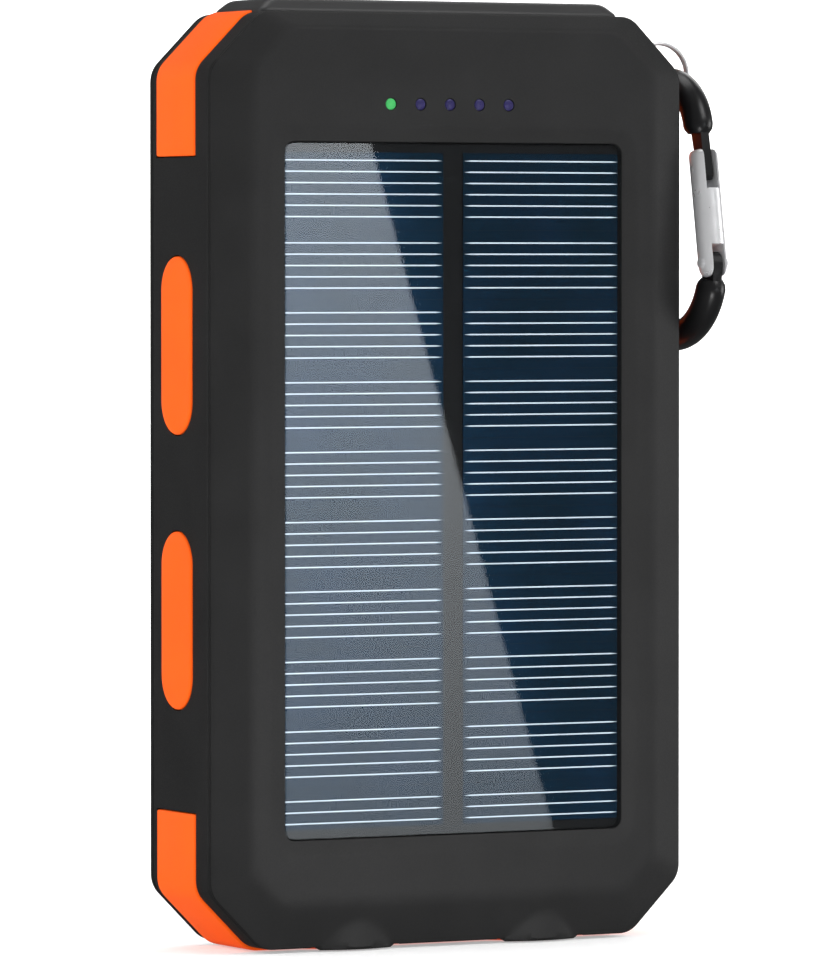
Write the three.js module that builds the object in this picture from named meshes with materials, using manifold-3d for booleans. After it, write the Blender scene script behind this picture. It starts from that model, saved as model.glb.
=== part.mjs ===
// Rugged solar phone charger with two flashlights, a compass and a carabiner.
// Millimetres. +Z is up with the charger standing on its flashlight end, the solar panel faces -Y,
// and the origin is the middle of the flashlight end.
import * as THREE from 'three';
import { mergeVertices } from 'three/addons/utils/BufferGeometryUtils.js';
import Module from 'manifold-3d';

const wasm = await Module();
wasm.setup();

// ---- Driving dimensions ----

const CASE_WIDTH = 80;
const CASE_BOTTOM = 0.5;
const CASE_TOP = 140;
const CORNER_LEG = 8.6;
const CORNER_ROUND = 1.8;
const CORNER_SHRINK = 0.293;
const BAND_FRONT = -9.5;
const BAND_REAR = 9.5;
const FRONT_FACE = -12.7;
const REAR_FACE = 12.4;
const WALL = 3.5;
const FIT = 0.05;
const LOOSE_FIT = 0.1;
const TURNED_SIDES = 28;

const TRIM = { front: -5.1, rear: 7.7, depth: 1.2, proud: 0.2, legBottom: 118.5, legTop: 20.7, innerEnd: 30.8 };
const GRIP = { y: 0.95, width: 10.1, length: 26.6, heights: { upper: 90.3, lower: 49.3 }, proud: 0.35, depth: 1.2 };

const PANEL = { halfWidth: 28.5, bottom: 16.9, top: 120.5, corner: 1.6, floor: -10.4 };
const PANEL_SLOPE = { side: 2.7, bottom: 2.5, top: 2.4, corner: 4, depth: 0.5 };
const GLASS = { front: -12.2, rear: -11.6 };
const CELL_SHEET = { front: -11.55, rear: -11.35, columnCentre: 15.0, columnWidth: 26.6, margin: 1.2 };
const CELL_ROWS = 10;
const BOARD_SHEET = { front: -11.3, rear: -10.5 };

const STATUS_LIGHT = { count: 5, pitch: 5, x: -1.1, z: 126.3, radius: 0.85 };

const FLASHLIGHT = { x: 15.75, y: 0.4, disc: 8.7, lens: 6.2, frontBulge: 12, rearBulge: 11.8, bulgeTop: 9 };

const PORT_COVER = { halfWidth: 30.5, halfDepth: 7.9, bottom: 139, shoulder: 140.3, top: 142 };
const USB_PORT = { x: 18, y: 0.3, width: 13.1, depth: 5.7, length: 14, wall: 0.35 };
const MICRO_PORT = { x: 0, width: 8, depth: 3.2, length: 6, wall: 0.35 };
const PORT_MOUTH = 138.9;
const BUNG_LENGTH = 1.1;

const BOARD = { front: 3.35, rear: 4.55, bottom: 105, top: 136.4, halfWidth: 29.5 };

const BUTTON = { y: 1.1, z: 110.8, width: 4.6, length: 9, outer: 40.3, inner: 36.7 };

const COMPASS_Z = 117.5;

const SCREWS = [
  { x: -31, z: 12 },
  { x: 31, z: 12 },
  { x: -33.2, z: 126.5 },
  { x: 33.2, z: 126.5 },
];
const BOSS_RADIUS = 3;

const RING = { x: 42.2, z: 131.45, radius: 4.85, wire: 0.55 };
const LANYARD_PIN = { x: 38.9, z: 131.45, radius: 0.9, halfLength: 3.6 };
const RING_SWING_DEGREES = 70;
const SLOT_HALF_WIDTH = 0.95;

const CARABINER = { x: 43.4, turnDegrees: 4, rod: 2.3 };
const TOP_BEND = { u: 0.8, w: 122.1, radius: 8.15 };
const LOW_BEND = { u: 2.2, w: 102, radius: 10.6 };
const GATE = { pivotU: 12.75, pivotW: 102.6, tipU: 10.1, tipW: 119.4, radius: 2.2 };

// ---- Finishes ----

const BLACK_PLASTIC = [0x2a2a2a, 0.62, 0];
const BLACK_RUBBER = [0x303030, 0.7, 0];
const ORANGE_RUBBER = [0xfb6620, 0.5, 0];
const CIRCUIT_GREEN = [0x1d5a34, 0.5, 0];
const SOLAR_BLUE = [0x12293b, 0.25, 0.3];
const POLISHED_STEEL = [0xc4c7c9, 0.22, 1];
const CLEAR_PLASTIC = [0xdfe8ec, 0.08, 0];
const WHITE_PLASTIC = [0xe8e6e0, 0.5, 0];
const BLACK_ANODISED = [0x16171a, 0.35, 0.6];

// ---- Turning three.js geometry into solids and back ----

function toSolid(geometry) {
  const bare = geometry.clone();
  bare.deleteAttribute('normal');
  bare.deleteAttribute('uv');
  const merged = mergeVertices(bare);
  const mesh = new wasm.Mesh({
    numProp: 3,
    vertProperties: new Float32Array(merged.attributes.position.array),
    triVerts: new Uint32Array(merged.index.array),
  });
  return new wasm.Manifold(mesh);
}

function toGeometry(solid) {
  const mesh = solid.getMesh();
  const geometry = new THREE.BufferGeometry();
  geometry.setAttribute('position', new THREE.BufferAttribute(mesh.vertProperties, 3));
  geometry.setIndex(new THREE.BufferAttribute(mesh.triVerts, 1));
  return geometry;
}

function join(first, ...others) {
  return toGeometry(others.reduce((solid, other) => solid.add(toSolid(other)), toSolid(first)));
}

function cut(first, ...tools) {
  return toGeometry(tools.reduce((solid, tool) => solid.subtract(toSolid(tool)), toSolid(first)));
}

function common(first, second) {
  return toGeometry(toSolid(first).intersect(toSolid(second)));
}

// ---- Outlines ----

function roundedOutline(corners, radius, steps = 3) {
  const points = [];
  corners.forEach((corner, i) => {
    const here = new THREE.Vector2(...corner);
    const before = new THREE.Vector2(...corners.at(i - 1));
    const after = new THREE.Vector2(...corners[(i + 1) % corners.length]);
    const start = here.clone().add(before.sub(here).setLength(radius));
    const end = here.clone().add(after.sub(here).setLength(radius));
    points.push(...new THREE.QuadraticBezierCurve(start, here, end).getPoints(steps));
  });
  return points;
}

function rectangleOutline(left, right, low, high, radius, steps = 3) {
  return roundedOutline([[left, low], [right, low], [right, high], [left, high]], radius, steps);
}

function caseOutline(side, bottom = side, top = side) {
  const half = CASE_WIDTH / 2 - side;
  const low = CASE_BOTTOM + bottom;
  const high = CASE_TOP - top;
  const lowLeg = CORNER_LEG - CORNER_SHRINK * (side + bottom);
  const highLeg = CORNER_LEG - CORNER_SHRINK * (side + top);
  const corners = [
    [-half + lowLeg, low],
    [half - lowLeg, low],
    [half, low + lowLeg],
    [half, high - highLeg],
    [half - highLeg, high],
    [-half + highLeg, high],
    [-half, high - highLeg],
    [-half, low + lowLeg],
  ];
  return roundedOutline(corners, CORNER_ROUND);
}

function pillOutline(centreY, centreZ, width, length, steps = 8) {
  const radius = width / 2;
  const reach = length / 2 - radius;
  const points = [];
  [1, -1].forEach((end) => {
    for (let i = 0; i <= steps; i += 1) {
      const angle = Math.PI * (i / steps) + (end > 0 ? 0 : Math.PI);
      points.push(new THREE.Vector2(
        centreY + radius * Math.cos(angle),
        centreZ + end * reach + radius * Math.sin(angle),
      ));
    }
  });
  return points;
}

// ---- Basic solids ----

const ALONG_X = (u, v, at) => [at, u, v];
const ALONG_Y = (u, v, at) => [u, at, v];
const ALONG_Z = (u, v, at) => [u, v, at];

// A closed skin over outlines with equal point counts, each one placed at its own distance.
function loft(sections, place) {
  const count = sections[0].outline.length;
  const last = (sections.length - 1) * count;
  const positions = sections.flatMap(({ outline, at }) => outline.flatMap((p) => place(p.x, p.y, at)));
  const index = [];
  for (let ring = 0; ring < sections.length - 1; ring += 1) {
    for (let i = 0; i < count; i += 1) {
      const a = ring * count + i;
      const b = ring * count + ((i + 1) % count);
      index.push(a, a + count, b + count, a, b + count, b);
    }
  }
  const startCap = THREE.ShapeUtils.triangulateShape(sections[0].outline, []);
  const endCap = THREE.ShapeUtils.triangulateShape(sections.at(-1).outline, []);
  startCap.forEach(([a, b, c]) => index.push(a, b, c));
  endCap.forEach(([a, b, c]) => index.push(last + a, last + c, last + b));
  const handed = new THREE.Vector3(...place(1, 0, 0)).cross(new THREE.Vector3(...place(0, 1, 0)));
  const rising = sections.at(-1).at > sections[0].at;
  const inward = (handed.dot(new THREE.Vector3(...place(0, 0, 1))) > 0) === rising;
  const geometry = new THREE.BufferGeometry();
  geometry.setAttribute('position', new THREE.Float32BufferAttribute(positions, 3));
  geometry.setIndex(inward ? index.reverse() : index);
  return geometry;
}

function slab(outline, from, to, place) {
  return loft([{ outline, at: from }, { outline, at: to }], place);
}

function box(x0, x1, y0, y1, z0, z1) {
  const geometry = new THREE.BoxGeometry(x1 - x0, y1 - y0, z1 - z0);
  return geometry.translate((x0 + x1) / 2, (y0 + y1) / 2, (z0 + z1) / 2);
}

function rodAlongY(x, z, radius, from, to, sides = 16) {
  const geometry = new THREE.CylinderGeometry(radius, radius, to - from, sides);
  return geometry.translate(x, (from + to) / 2, z);
}

function rodAlongZ(x, y, radius, from, to, sides = TURNED_SIDES) {
  const geometry = new THREE.CylinderGeometry(radius, radius, to - from, sides).rotateX(Math.PI / 2);
  return geometry.translate(x, y, (from + to) / 2);
}

function rodAlongX(y, z, radius, from, to, sides = 16) {
  const geometry = new THREE.CylinderGeometry(radius, radius, to - from, sides).rotateZ(Math.PI / 2);
  return geometry.translate((from + to) / 2, y, z);
}

function turned(profile, sides = TURNED_SIDES) {
  const points = profile.map(([radius, height]) => new THREE.Vector2(radius, height));
  const climbing = THREE.ShapeUtils.area(points) > 0;
  return toGeometry(toSolid(new THREE.LatheGeometry(climbing ? points : points.reverse(), sides)));
}

function turnedAboutZ(profile, x, y) {
  return turned(profile).rotateX(Math.PI / 2).translate(x, y, 0);
}

// ---- The assembly ----

const charger = new THREE.Group();

function piece(name, geometry, [color, roughness, metalness], parent = charger) {
  const mesh = new THREE.Mesh(geometry, new THREE.MeshStandardMaterial({ color, roughness, metalness }));
  mesh.name = name;
  parent.add(mesh);
}

// ---- Openings shared by the case parts ----

const lightX = (i) => STATUS_LIGHT.x + (i - (STATUS_LIGHT.count - 1) / 2) * STATUS_LIGHT.pitch;
const screwHoles = (radius, from, to) => SCREWS.map(({ x, z }) => rodAlongY(x, z, radius, from, to));

// The space that the lanyard ring sweeps as it swings about its pin.
function ringSlot() {
  const reach = RING.x - LANYARD_PIN.x;
  const discs = [0, 0.25, 0.5, 0.75, 1].map((share) => {
    const angle = THREE.MathUtils.degToRad(RING_SWING_DEGREES) * share;
    const x = LANYARD_PIN.x + reach * Math.cos(angle);
    const z = LANYARD_PIN.z + reach * Math.sin(angle);
    const radius = RING.radius + RING.wire + 0.35;
    return rodAlongY(x, z, radius, -SLOT_HALF_WIDTH, SLOT_HALF_WIDTH, 32);
  });
  return join(...discs);
}

function pinHole() {
  const reach = LANYARD_PIN.halfLength + LOOSE_FIT;
  return rodAlongY(LANYARD_PIN.x, LANYARD_PIN.z, LANYARD_PIN.radius + LOOSE_FIT, -reach, reach);
}

// A band wrapped around the case, from a given depth below its skin out past it.
function skinBand(depth, over, front, rear) {
  const outer = slab(caseOutline(-over, over === TRIM.proud ? -CASE_BOTTOM : -over, -over), front, rear, ALONG_Y);
  const inner = slab(caseOutline(depth), front - 1, rear + 1, ALONG_Y);
  return cut(outer, inner);
}

function trimRegion(part, slack) {
  const wide = CASE_WIDTH;
  if (part === 'bottom') {
    return box(-wide, wide, -wide, wide, -wide, TRIM.legTop + slack);
  }
  const leg = TRIM.legBottom - slack;
  const end = TRIM.innerEnd - slack;
  return part === 'left'
    ? box(-wide, -end, -wide, wide, leg, CASE_TOP + wide)
    : box(end, wide, -wide, wide, leg, CASE_TOP + wide);
}

// ---- Case: mid frame, covers and seal ----

function midFrame() {
  const outer = slab(caseOutline(0), BAND_FRONT, BAND_REAR, ALONG_Y);
  const inner = slab(caseOutline(WALL, 2.7, 3.2), BAND_FRONT - 1, BAND_REAR + 1, ALONG_Y);
  const lightPads = [-1, 1].map((side) => common(
    rodAlongZ(side * FLASHLIGHT.x, FLASHLIGHT.y, FLASHLIGHT.rearBulge, FIT, 3),
    box(-CASE_WIDTH, CASE_WIDTH, BAND_FRONT, BAND_REAR, 0, 3),
  ));
  const bosses = SCREWS.flatMap(({ x, z }) => {
    const side = Math.sign(x);
    const wallX = side * (CASE_WIDTH / 2 - 1.6);
    const gusset = box(Math.min(x, wallX), Math.max(x, wallX), -6, 5, z - 1.5, z + 1.5);
    return [rodAlongY(x, z, BOSS_RADIUS, -6, 5), gusset];
  });
  const lanyardBlock = common(outer, box(33.5, 38.5, -4.6, 4.6, 125, 137.2));
  const trimPocket = skinBand(TRIM.depth + FIT, 3, TRIM.front - LOOSE_FIT, TRIM.rear + LOOSE_FIT);
  const trimPockets = ['left', 'right', 'bottom'].map((part) => common(trimPocket, trimRegion(part, LOOSE_FIT)));
  const discPockets = [-1, 1].flatMap((side) => [
    rodAlongZ(side * FLASHLIGHT.x, FLASHLIGHT.y, FLASHLIGHT.disc + LOOSE_FIT, -1, CASE_BOTTOM + TRIM.depth + FIT),
    rodAlongZ(side * FLASHLIGHT.x, FLASHLIGHT.y, 6.9, -1, 5),
  ]);
  const gripPockets = [-1, 1].flatMap((side) => Object.values(GRIP.heights).map((z) => {
    const outline = pillOutline(GRIP.y, z, GRIP.width + 2 * LOOSE_FIT, GRIP.length + 2 * LOOSE_FIT);
    const skin = side * CASE_WIDTH / 2;
    return slab(outline, skin - side * (GRIP.depth + FIT), skin + side, ALONG_X);
  }));
  const buttonHole = slab(
    pillOutline(BUTTON.y, BUTTON.z, BUTTON.width + 0.4, BUTTON.length + 0.4),
    30,
    CASE_WIDTH,
    ALONG_X,
  );
  const coverRecess = box(
    -PORT_COVER.halfWidth - 0.2,
    PORT_COVER.halfWidth + 0.2,
    -PORT_COVER.halfDepth - 0.2,
    PORT_COVER.halfDepth + 0.2,
    PORT_COVER.bottom,
    CASE_TOP + 1,
  );
  const tetherNotch = box(-6.1, 6.1, PORT_COVER.halfDepth, 9.2, PORT_COVER.bottom - 0.2, CASE_TOP + 1);
  const portHoles = [
    portHole(-USB_PORT.x, USB_PORT.width, USB_PORT.depth),
    portHole(USB_PORT.x, USB_PORT.width, USB_PORT.depth),
    portHole(MICRO_PORT.x, MICRO_PORT.width, MICRO_PORT.depth),
  ];
  const sealGroove = cut(
    slab(caseOutline(1.5), BAND_FRONT - 1, BAND_FRONT + 0.65, ALONG_Y),
    slab(caseOutline(2.7), BAND_FRONT - 2, BAND_FRONT + 2, ALONG_Y),
  );
  return cut(
    join(cut(outer, inner), ...lightPads, ...bosses, lanyardBlock),
    ...trimPockets,
    ...discPockets,
    ...gripPockets,
    buttonHole,
    coverRecess,
    tetherNotch,
    ...portHoles,
    sealGroove,
    ringSlot(),
    pinHole(),
    ...screwHoles(1.35, -7, 7),
  );
}

function portHole(x, width, depth) {
  const halfWidth = width / 2 + LOOSE_FIT;
  const halfDepth = depth / 2 + LOOSE_FIT;
  return box(x - halfWidth, x + halfWidth, USB_PORT.y - halfDepth, USB_PORT.y + halfDepth, 130, CASE_TOP + 1);
}

// Rounded swellings of a cover around the two flashlights.
function lightBulges(radius, from, to) {
  return [-1, 1].map((side) => common(
    rodAlongZ(side * FLASHLIGHT.x, FLASHLIGHT.y, radius, FIT, FLASHLIGHT.bulgeTop, 48),
    box(-CASE_WIDTH, CASE_WIDTH, from, to, -1, 20),
  ));
}

function frontCover() {
  const dome = loft([
    { at: BAND_FRONT, outline: caseOutline(0) },
    { at: BAND_FRONT - 0.4, outline: caseOutline(0.3, 0.3, 0.2) },
    { at: FRONT_FACE + 0.4, outline: caseOutline(5, 5.8, 1.7) },
    { at: FRONT_FACE, outline: caseOutline(6.4, 7.2, 2.8) },
  ], ALONG_Y);
  const lip = cut(
    slab(caseOutline(WALL + LOOSE_FIT, 4, 3.4), BAND_FRONT - FIT, BAND_FRONT + 1.4, ALONG_Y),
    slab(caseOutline(WALL + 1.3, 5.2, 4.6), BAND_FRONT - 1, BAND_FRONT + 2, ALONG_Y),
  );
  const bosses = SCREWS.map(({ x, z }) => rodAlongY(x, z, 2.8, BAND_FRONT - 0.5, -6.1));
  const { side, bottom, top, corner, depth } = PANEL_SLOPE;
  const pocket = (grow) => rectangleOutline(
    -PANEL.halfWidth - grow,
    PANEL.halfWidth + grow,
    PANEL.bottom - grow,
    PANEL.top + grow,
    PANEL.corner,
  );
  const slope = loft([
    {
      at: FRONT_FACE - 0.1,
      outline: rectangleOutline(
        -PANEL.halfWidth - side,
        PANEL.halfWidth + side,
        PANEL.bottom - bottom,
        PANEL.top + top,
        corner,
      ),
    },
    { at: FRONT_FACE + depth, outline: pocket(LOOSE_FIT) },
  ], ALONG_Y);
  const panelSeat = slab(pocket(LOOSE_FIT), FRONT_FACE - 1, PANEL.floor, ALONG_Y);
  const wireSlot = box(-8, 8, -12, -9, 106, 113);
  const lightGuideSeat = box(
    STATUS_LIGHT.x - 13.1,
    STATUS_LIGHT.x + 13.1,
    -10.95,
    BAND_FRONT + 1,
    STATUS_LIGHT.z - 2.6,
    STATUS_LIGHT.z + 2.6,
  );
  const lightHoles = Array.from({ length: STATUS_LIGHT.count }, (_, i) => (
    rodAlongY(lightX(i), STATUS_LIGHT.z, STATUS_LIGHT.radius + FIT, -14, -9, 12)
  ));
  return cut(
    join(dome, lip, ...bosses, ...lightBulges(FLASHLIGHT.frontBulge, -20, BAND_FRONT)),
    slope,
    panelSeat,
    wireSlot,
    lightGuideSeat,
    ...lightHoles,
    ...screwHoles(1.25, -9.4, -5),
  );
}

function rearCover() {
  const dome = loft([
    { at: BAND_REAR, outline: caseOutline(0) },
    { at: BAND_REAR + 0.4, outline: caseOutline(0.3, 0.3, 0.2) },
    { at: REAR_FACE - 0.4, outline: caseOutline(4.6, 5.4, 1.9) },
    { at: REAR_FACE, outline: caseOutline(5.8, 6.6, 2.9) },
  ], ALONG_Y);
  const hollow = slab(caseOutline(6.6, 8, 6), BAND_REAR - 1, 10.8, ALONG_Y);
  const lip = cut(
    slab(caseOutline(WALL + LOOSE_FIT, 4, 3.4), BAND_REAR - 1.4, BAND_REAR + FIT, ALONG_Y),
    slab(caseOutline(WALL + 1.3, 5.2, 4.6), BAND_REAR - 2, BAND_REAR + 1, ALONG_Y),
  );
  return cut(
    join(cut(dome, hollow), lip, ...lightBulges(FLASHLIGHT.rearBulge, BAND_REAR, 20)),
    rodAlongY(0, COMPASS_Z, 9.15, 5, 20, 32),
    rodAlongY(0, COMPASS_Z, 10.35, 11.4, 20, 32),
  );
}

function caseSeal() {
  return cut(
    slab(caseOutline(1.6), BAND_FRONT + FIT, BAND_FRONT + 0.6, ALONG_Y),
    slab(caseOutline(2.6), BAND_FRONT - 1, BAND_FRONT + 2, ALONG_Y),
  );
}

// ---- Orange trims and grips ----

function cornerTrim(part) {
  const corner = common(skinBand(TRIM.depth, TRIM.proud, TRIM.front, TRIM.rear), trimRegion(part, 0));
  return part === 'right' ? cut(corner, ringSlot(), pinHole()) : corner;
}

function flashlightTrim() {
  const band = common(skinBand(TRIM.depth, TRIM.proud, TRIM.front, TRIM.rear), trimRegion('bottom', 0));
  const disc = (side) => rodAlongZ(
    side * FLASHLIGHT.x,
    FLASHLIGHT.y,
    FLASHLIGHT.disc,
    0,
    CASE_BOTTOM + TRIM.depth,
  );
  const hole = (side) => rodAlongZ(side * FLASHLIGHT.x, FLASHLIGHT.y, FLASHLIGHT.lens + LOOSE_FIT, -1, 3);
  return cut(join(band, disc(-1), disc(1)), hole(-1), hole(1));
}

function sideGrip(side, z) {
  const skin = side * CASE_WIDTH / 2;
  const outline = (inset) => pillOutline(GRIP.y, z, GRIP.width - 2 * inset, GRIP.length - 2 * inset);
  return loft([
    { at: skin - side * GRIP.depth, outline: outline(0) },
    { at: skin, outline: outline(0) },
    { at: skin + side * GRIP.proud * 0.7, outline: outline(0.3) },
    { at: skin + side * GRIP.proud, outline: outline(1) },
  ], ALONG_X);
}

function buildCase() {
  piece('front_cover', frontCover(), BLACK_PLASTIC);
  piece('mid_frame', midFrame(), BLACK_PLASTIC);
  piece('rear_cover', rearCover(), BLACK_PLASTIC);
  piece('case_seal', caseSeal(), BLACK_RUBBER);
  piece('corner_trim_left', cornerTrim('left'), ORANGE_RUBBER);
  piece('corner_trim_right', cornerTrim('right'), ORANGE_RUBBER);
  piece('flashlight_trim', flashlightTrim(), ORANGE_RUBBER);
  Object.entries(GRIP.heights).forEach(([level, z]) => {
    piece(`side_grip_left_${level}`, sideGrip(-1, z), ORANGE_RUBBER);
    piece(`side_grip_right_${level}`, sideGrip(1, z), ORANGE_RUBBER);
  });
  SCREWS.forEach(({ x, z }, i) => {
    const screw = join(rodAlongY(x, z, 1.2, -8.8, 5.6, 12), rodAlongY(x, z, 2.3, 5.1, 6.7, 16));
    piece(`case_screw_${i + 1}`, screw, POLISHED_STEEL);
  });
}

// ---- Solar panel ----

function panelSheet(inset, front, rear) {
  const outline = rectangleOutline(
    -PANEL.halfWidth + inset,
    PANEL.halfWidth - inset,
    PANEL.bottom + inset,
    PANEL.top - inset,
    PANEL.corner,
  );
  return slab(outline, front, rear, ALONG_Y);
}

// One column of cells, each joined to the next by a narrow ribbon.
function cellColumn(centre) {
  const low = PANEL.bottom + CELL_SHEET.margin;
  const rowHeight = (PANEL.top - CELL_SHEET.margin - low) / CELL_ROWS;
  const half = CELL_SHEET.columnWidth / 2;
  const cells = Array.from({ length: CELL_ROWS }, (_, row) => box(
    centre - half,
    centre + half,
    CELL_SHEET.front,
    CELL_SHEET.rear,
    low + row * rowHeight + 0.2,
    low + (row + 1) * rowHeight - 0.2,
  ));
  const ribbon = box(
    centre - 1,
    centre + 1,
    CELL_SHEET.front,
    CELL_SHEET.rear,
    low + 1,
    low + CELL_ROWS * rowHeight - 1,
  );
  return join(ribbon, ...cells);
}

function buildSolarPanel() {
  piece('solar_panel_glass', panelSheet(0, GLASS.front, GLASS.rear), CLEAR_PLASTIC);
  piece('solar_cells_left', cellColumn(-CELL_SHEET.columnCentre), SOLAR_BLUE);
  piece('solar_cells_right', cellColumn(CELL_SHEET.columnCentre), SOLAR_BLUE);
  piece('solar_panel_board', panelSheet(0.1, BOARD_SHEET.front, BOARD_SHEET.rear), [0x141414, 0.5, 0]);
}

// ---- Charge indicator ----

function buildIndicator() {
  const bar = box(
    STATUS_LIGHT.x - 13,
    STATUS_LIGHT.x + 13,
    -10.9,
    -10.2,
    STATUS_LIGHT.z - 1.6,
    STATUS_LIGHT.z + 1.6,
  );
  const posts = Array.from({ length: STATUS_LIGHT.count }, (_, i) => (
    rodAlongY(lightX(i), STATUS_LIGHT.z, STATUS_LIGHT.radius, -12.65, -10.5, 12)
  ));
  piece('indicator_light_guide', join(bar, ...posts), CLEAR_PLASTIC);
  for (let i = 0; i < STATUS_LIGHT.count; i += 1) {
    const x = lightX(i);
    const led = box(x - 0.8, x + 0.8, -10.1, -9.45, STATUS_LIGHT.z - 0.5, STATUS_LIGHT.z + 0.5);
    piece(`status_led_${i + 1}`, led, i === 0 ? [0x37b24a, 0.3, 0] : [0x30286a, 0.3, 0]);
  }
  const board = box(
    STATUS_LIGHT.x - 12.6,
    STATUS_LIGHT.x + 12.6,
    -9.4,
    -8.6,
    STATUS_LIGHT.z - 2.4,
    STATUS_LIGHT.z + 2.4,
  );
  piece('indicator_board', board, CIRCUIT_GREEN);
}

// ---- Electronics ----

function mainBoard() {
  const { halfWidth, bottom, top, front, rear } = BOARD;
  const outline = [
    [-halfWidth, bottom],
    [34.6, bottom],
    [34.6, bottom + 11.5],
    [halfWidth, bottom + 13.5],
    [halfWidth, top],
    [-halfWidth, top],
  ];
  return slab(outline.map((p) => new THREE.Vector2(...p)), front, rear, ALONG_Y);
}

function portShell(x, { width, depth, length, wall }) {
  const low = PORT_MOUTH - length;
  const outer = box(
    x - width / 2,
    x + width / 2,
    USB_PORT.y - depth / 2,
    USB_PORT.y + depth / 2,
    low,
    PORT_MOUTH,
  );
  const inner = box(
    x - width / 2 + wall,
    x + width / 2 - wall,
    USB_PORT.y - depth / 2 + wall,
    USB_PORT.y + depth / 2 - wall,
    low + wall,
    PORT_MOUTH + 1,
  );
  return cut(outer, inner);
}

function portTongue(x, halfWidth, thickness, length) {
  const low = PORT_MOUTH - length + USB_PORT.wall + FIT;
  return box(x - halfWidth, x + halfWidth, USB_PORT.y, USB_PORT.y + thickness, low, PORT_MOUTH - 1.6);
}

function buildElectronics() {
  piece('main_board', mainBoard(), CIRCUIT_GREEN);
  [['left', -USB_PORT.x], ['right', USB_PORT.x]].forEach(([side, x]) => {
    piece(`usb_shell_${side}`, portShell(x, USB_PORT), POLISHED_STEEL);
    piece(`usb_tongue_${side}`, portTongue(x, 5.5, 1.8, USB_PORT.length), WHITE_PLASTIC);
  });
  piece('micro_usb_shell', portShell(MICRO_PORT.x, MICRO_PORT), POLISHED_STEEL);
  piece('controller_chip', box(4, 10, 2.4, 3.3, 110, 116), [0x17181a, 0.5, 0]);
  const switchBody = cut(
    box(31.5, 35.1, -1.5, 3.3, BUTTON.z - 3, BUTTON.z + 3),
    rodAlongX(BUTTON.y, BUTTON.z, 1.1, 34, 36),
  );
  piece('power_switch', switchBody, [0x26272a, 0.5, 0]);
  piece('switch_plunger', rodAlongX(BUTTON.y, BUTTON.z, 0.95, 34.7, 36.6), WHITE_PLASTIC);
}

function buildBattery() {
  const pouch = (front, rear) => loft([
    { at: 17, outline: rectangleOutline(-32.5, 32.5, front + 0.6, rear - 0.6, 2) },
    { at: 18.5, outline: rectangleOutline(-33, 33, front, rear, 2.6) },
    { at: 101, outline: rectangleOutline(-33, 33, front, rear, 2.6) },
    { at: 103, outline: rectangleOutline(-32.5, 32.5, front + 0.6, rear - 0.6, 2) },
  ], ALONG_Z);
  piece('battery_cell_front', pouch(-7.9, -0.2), [0xaeb3b8, 0.35, 0.7]);
  piece('battery_cell_rear', pouch(0.2, 7.9), [0xaeb3b8, 0.35, 0.7]);
  piece('battery_foam', box(-26, 26, 8.1, 9.3, 24, 96), [0x4b4d50, 0.9, 0]);
  piece('protection_board', box(-17, 17, -4.5, 2.9, 103.4, 104.6), CIRCUIT_GREEN);
}

// ---- Flashlights ----

function reflector(side) {
  const wall = 0.5;
  const mouth = 1.8;
  const depth = 8.2;
  const cup = Array.from({ length: 7 }, (_, i) => {
    const share = i / 6;
    return [FLASHLIGHT.lens - 3.9 * share ** 1.7, mouth + depth * share];
  });
  const skin = cup.map(([radius, height]) => [radius + wall, height]).reverse();
  const flange = [[FLASHLIGHT.lens + wall, 4.1], [8, 4.1], [8, 3.3], [FLASHLIGHT.lens + wall, 3.3]];
  const outside = [...skin.filter(([, height]) => height > 4.2), ...flange, [FLASHLIGHT.lens + wall, mouth]];
  const profile = [...cup, ...outside, cup[0]];
  return turnedAboutZ(profile, side * FLASHLIGHT.x, FLASHLIGHT.y);
}

function flashlightLens(side) {
  const rim = FLASHLIGHT.lens;
  const profile = [[0, 0.45], [rim - 0.6, 0.45], [rim, 0.8], [rim, 1.7], [0, 1.7]];
  return turnedAboutZ(profile, side * FLASHLIGHT.x, FLASHLIGHT.y);
}

function flashlightLed(side) {
  const base = box(-1.7, 1.7, -1.7, 1.7, 10.1, 10.9);
  const dome = turned([[0, 8.9], [0.8, 9.15], [1.3, 9.8], [1.3, 10.4], [0, 10.4]], 16).rotateX(Math.PI / 2);
  return join(base, dome).translate(side * FLASHLIGHT.x, FLASHLIGHT.y, 0);
}

function buildFlashlights() {
  [['left', -1], ['right', 1]].forEach(([name, side]) => {
    piece(`flashlight_lens_${name}`, flashlightLens(side), CLEAR_PLASTIC);
    piece(`reflector_${name}`, reflector(side), POLISHED_STEEL);
    piece(`flashlight_led_${name}`, flashlightLed(side), [0xf4f1d8, 0.3, 0]);
  });
  piece('flashlight_board', box(-23, 23, -4.4, 5.2, 11, 12.2), CIRCUIT_GREEN);
}

// ---- Compass ----

function buildCompass() {
  const place = (profile, sides) => turned(profile, sides).translate(0, 0, COMPASS_Z);
  const housing = [[0, 6.6], [9, 6.6], [9, 10.55], [8.3, 10.55], [8.3, 7.4], [0, 7.4]];
  piece('compass_housing', place(housing), BLACK_PLASTIC);
  piece('compass_pivot', place([[0, 7.45], [1.2, 7.45], [0.35, 8.2], [0.2, 8.9], [0, 8.9]], 12), POLISHED_STEEL);
  const card = [[0, 9], [1, 8.95], [1, 9.25], [7.4, 9.25], [7.4, 9.65], [1.4, 9.65], [0.8, 10.1], [0, 10.1]];
  piece('compass_card', place(card), [0x1a1c1b, 0.5, 0]);
  piece('compass_crystal', place([[0, 10.6], [8.9, 10.6], [8.9, 11.4], [0, 11.4]]), CLEAR_PLASTIC);
  const bezel = [[7.9, 11.45], [10.2, 11.45], [10.2, 12.1], [9.95, 12.35], [8.3, 12.35], [7.9, 11.9], [7.9, 11.45]];
  piece('compass_bezel', place(bezel, 36), BLACK_PLASTIC);
}

// ---- Port cover and power button ----

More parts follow.
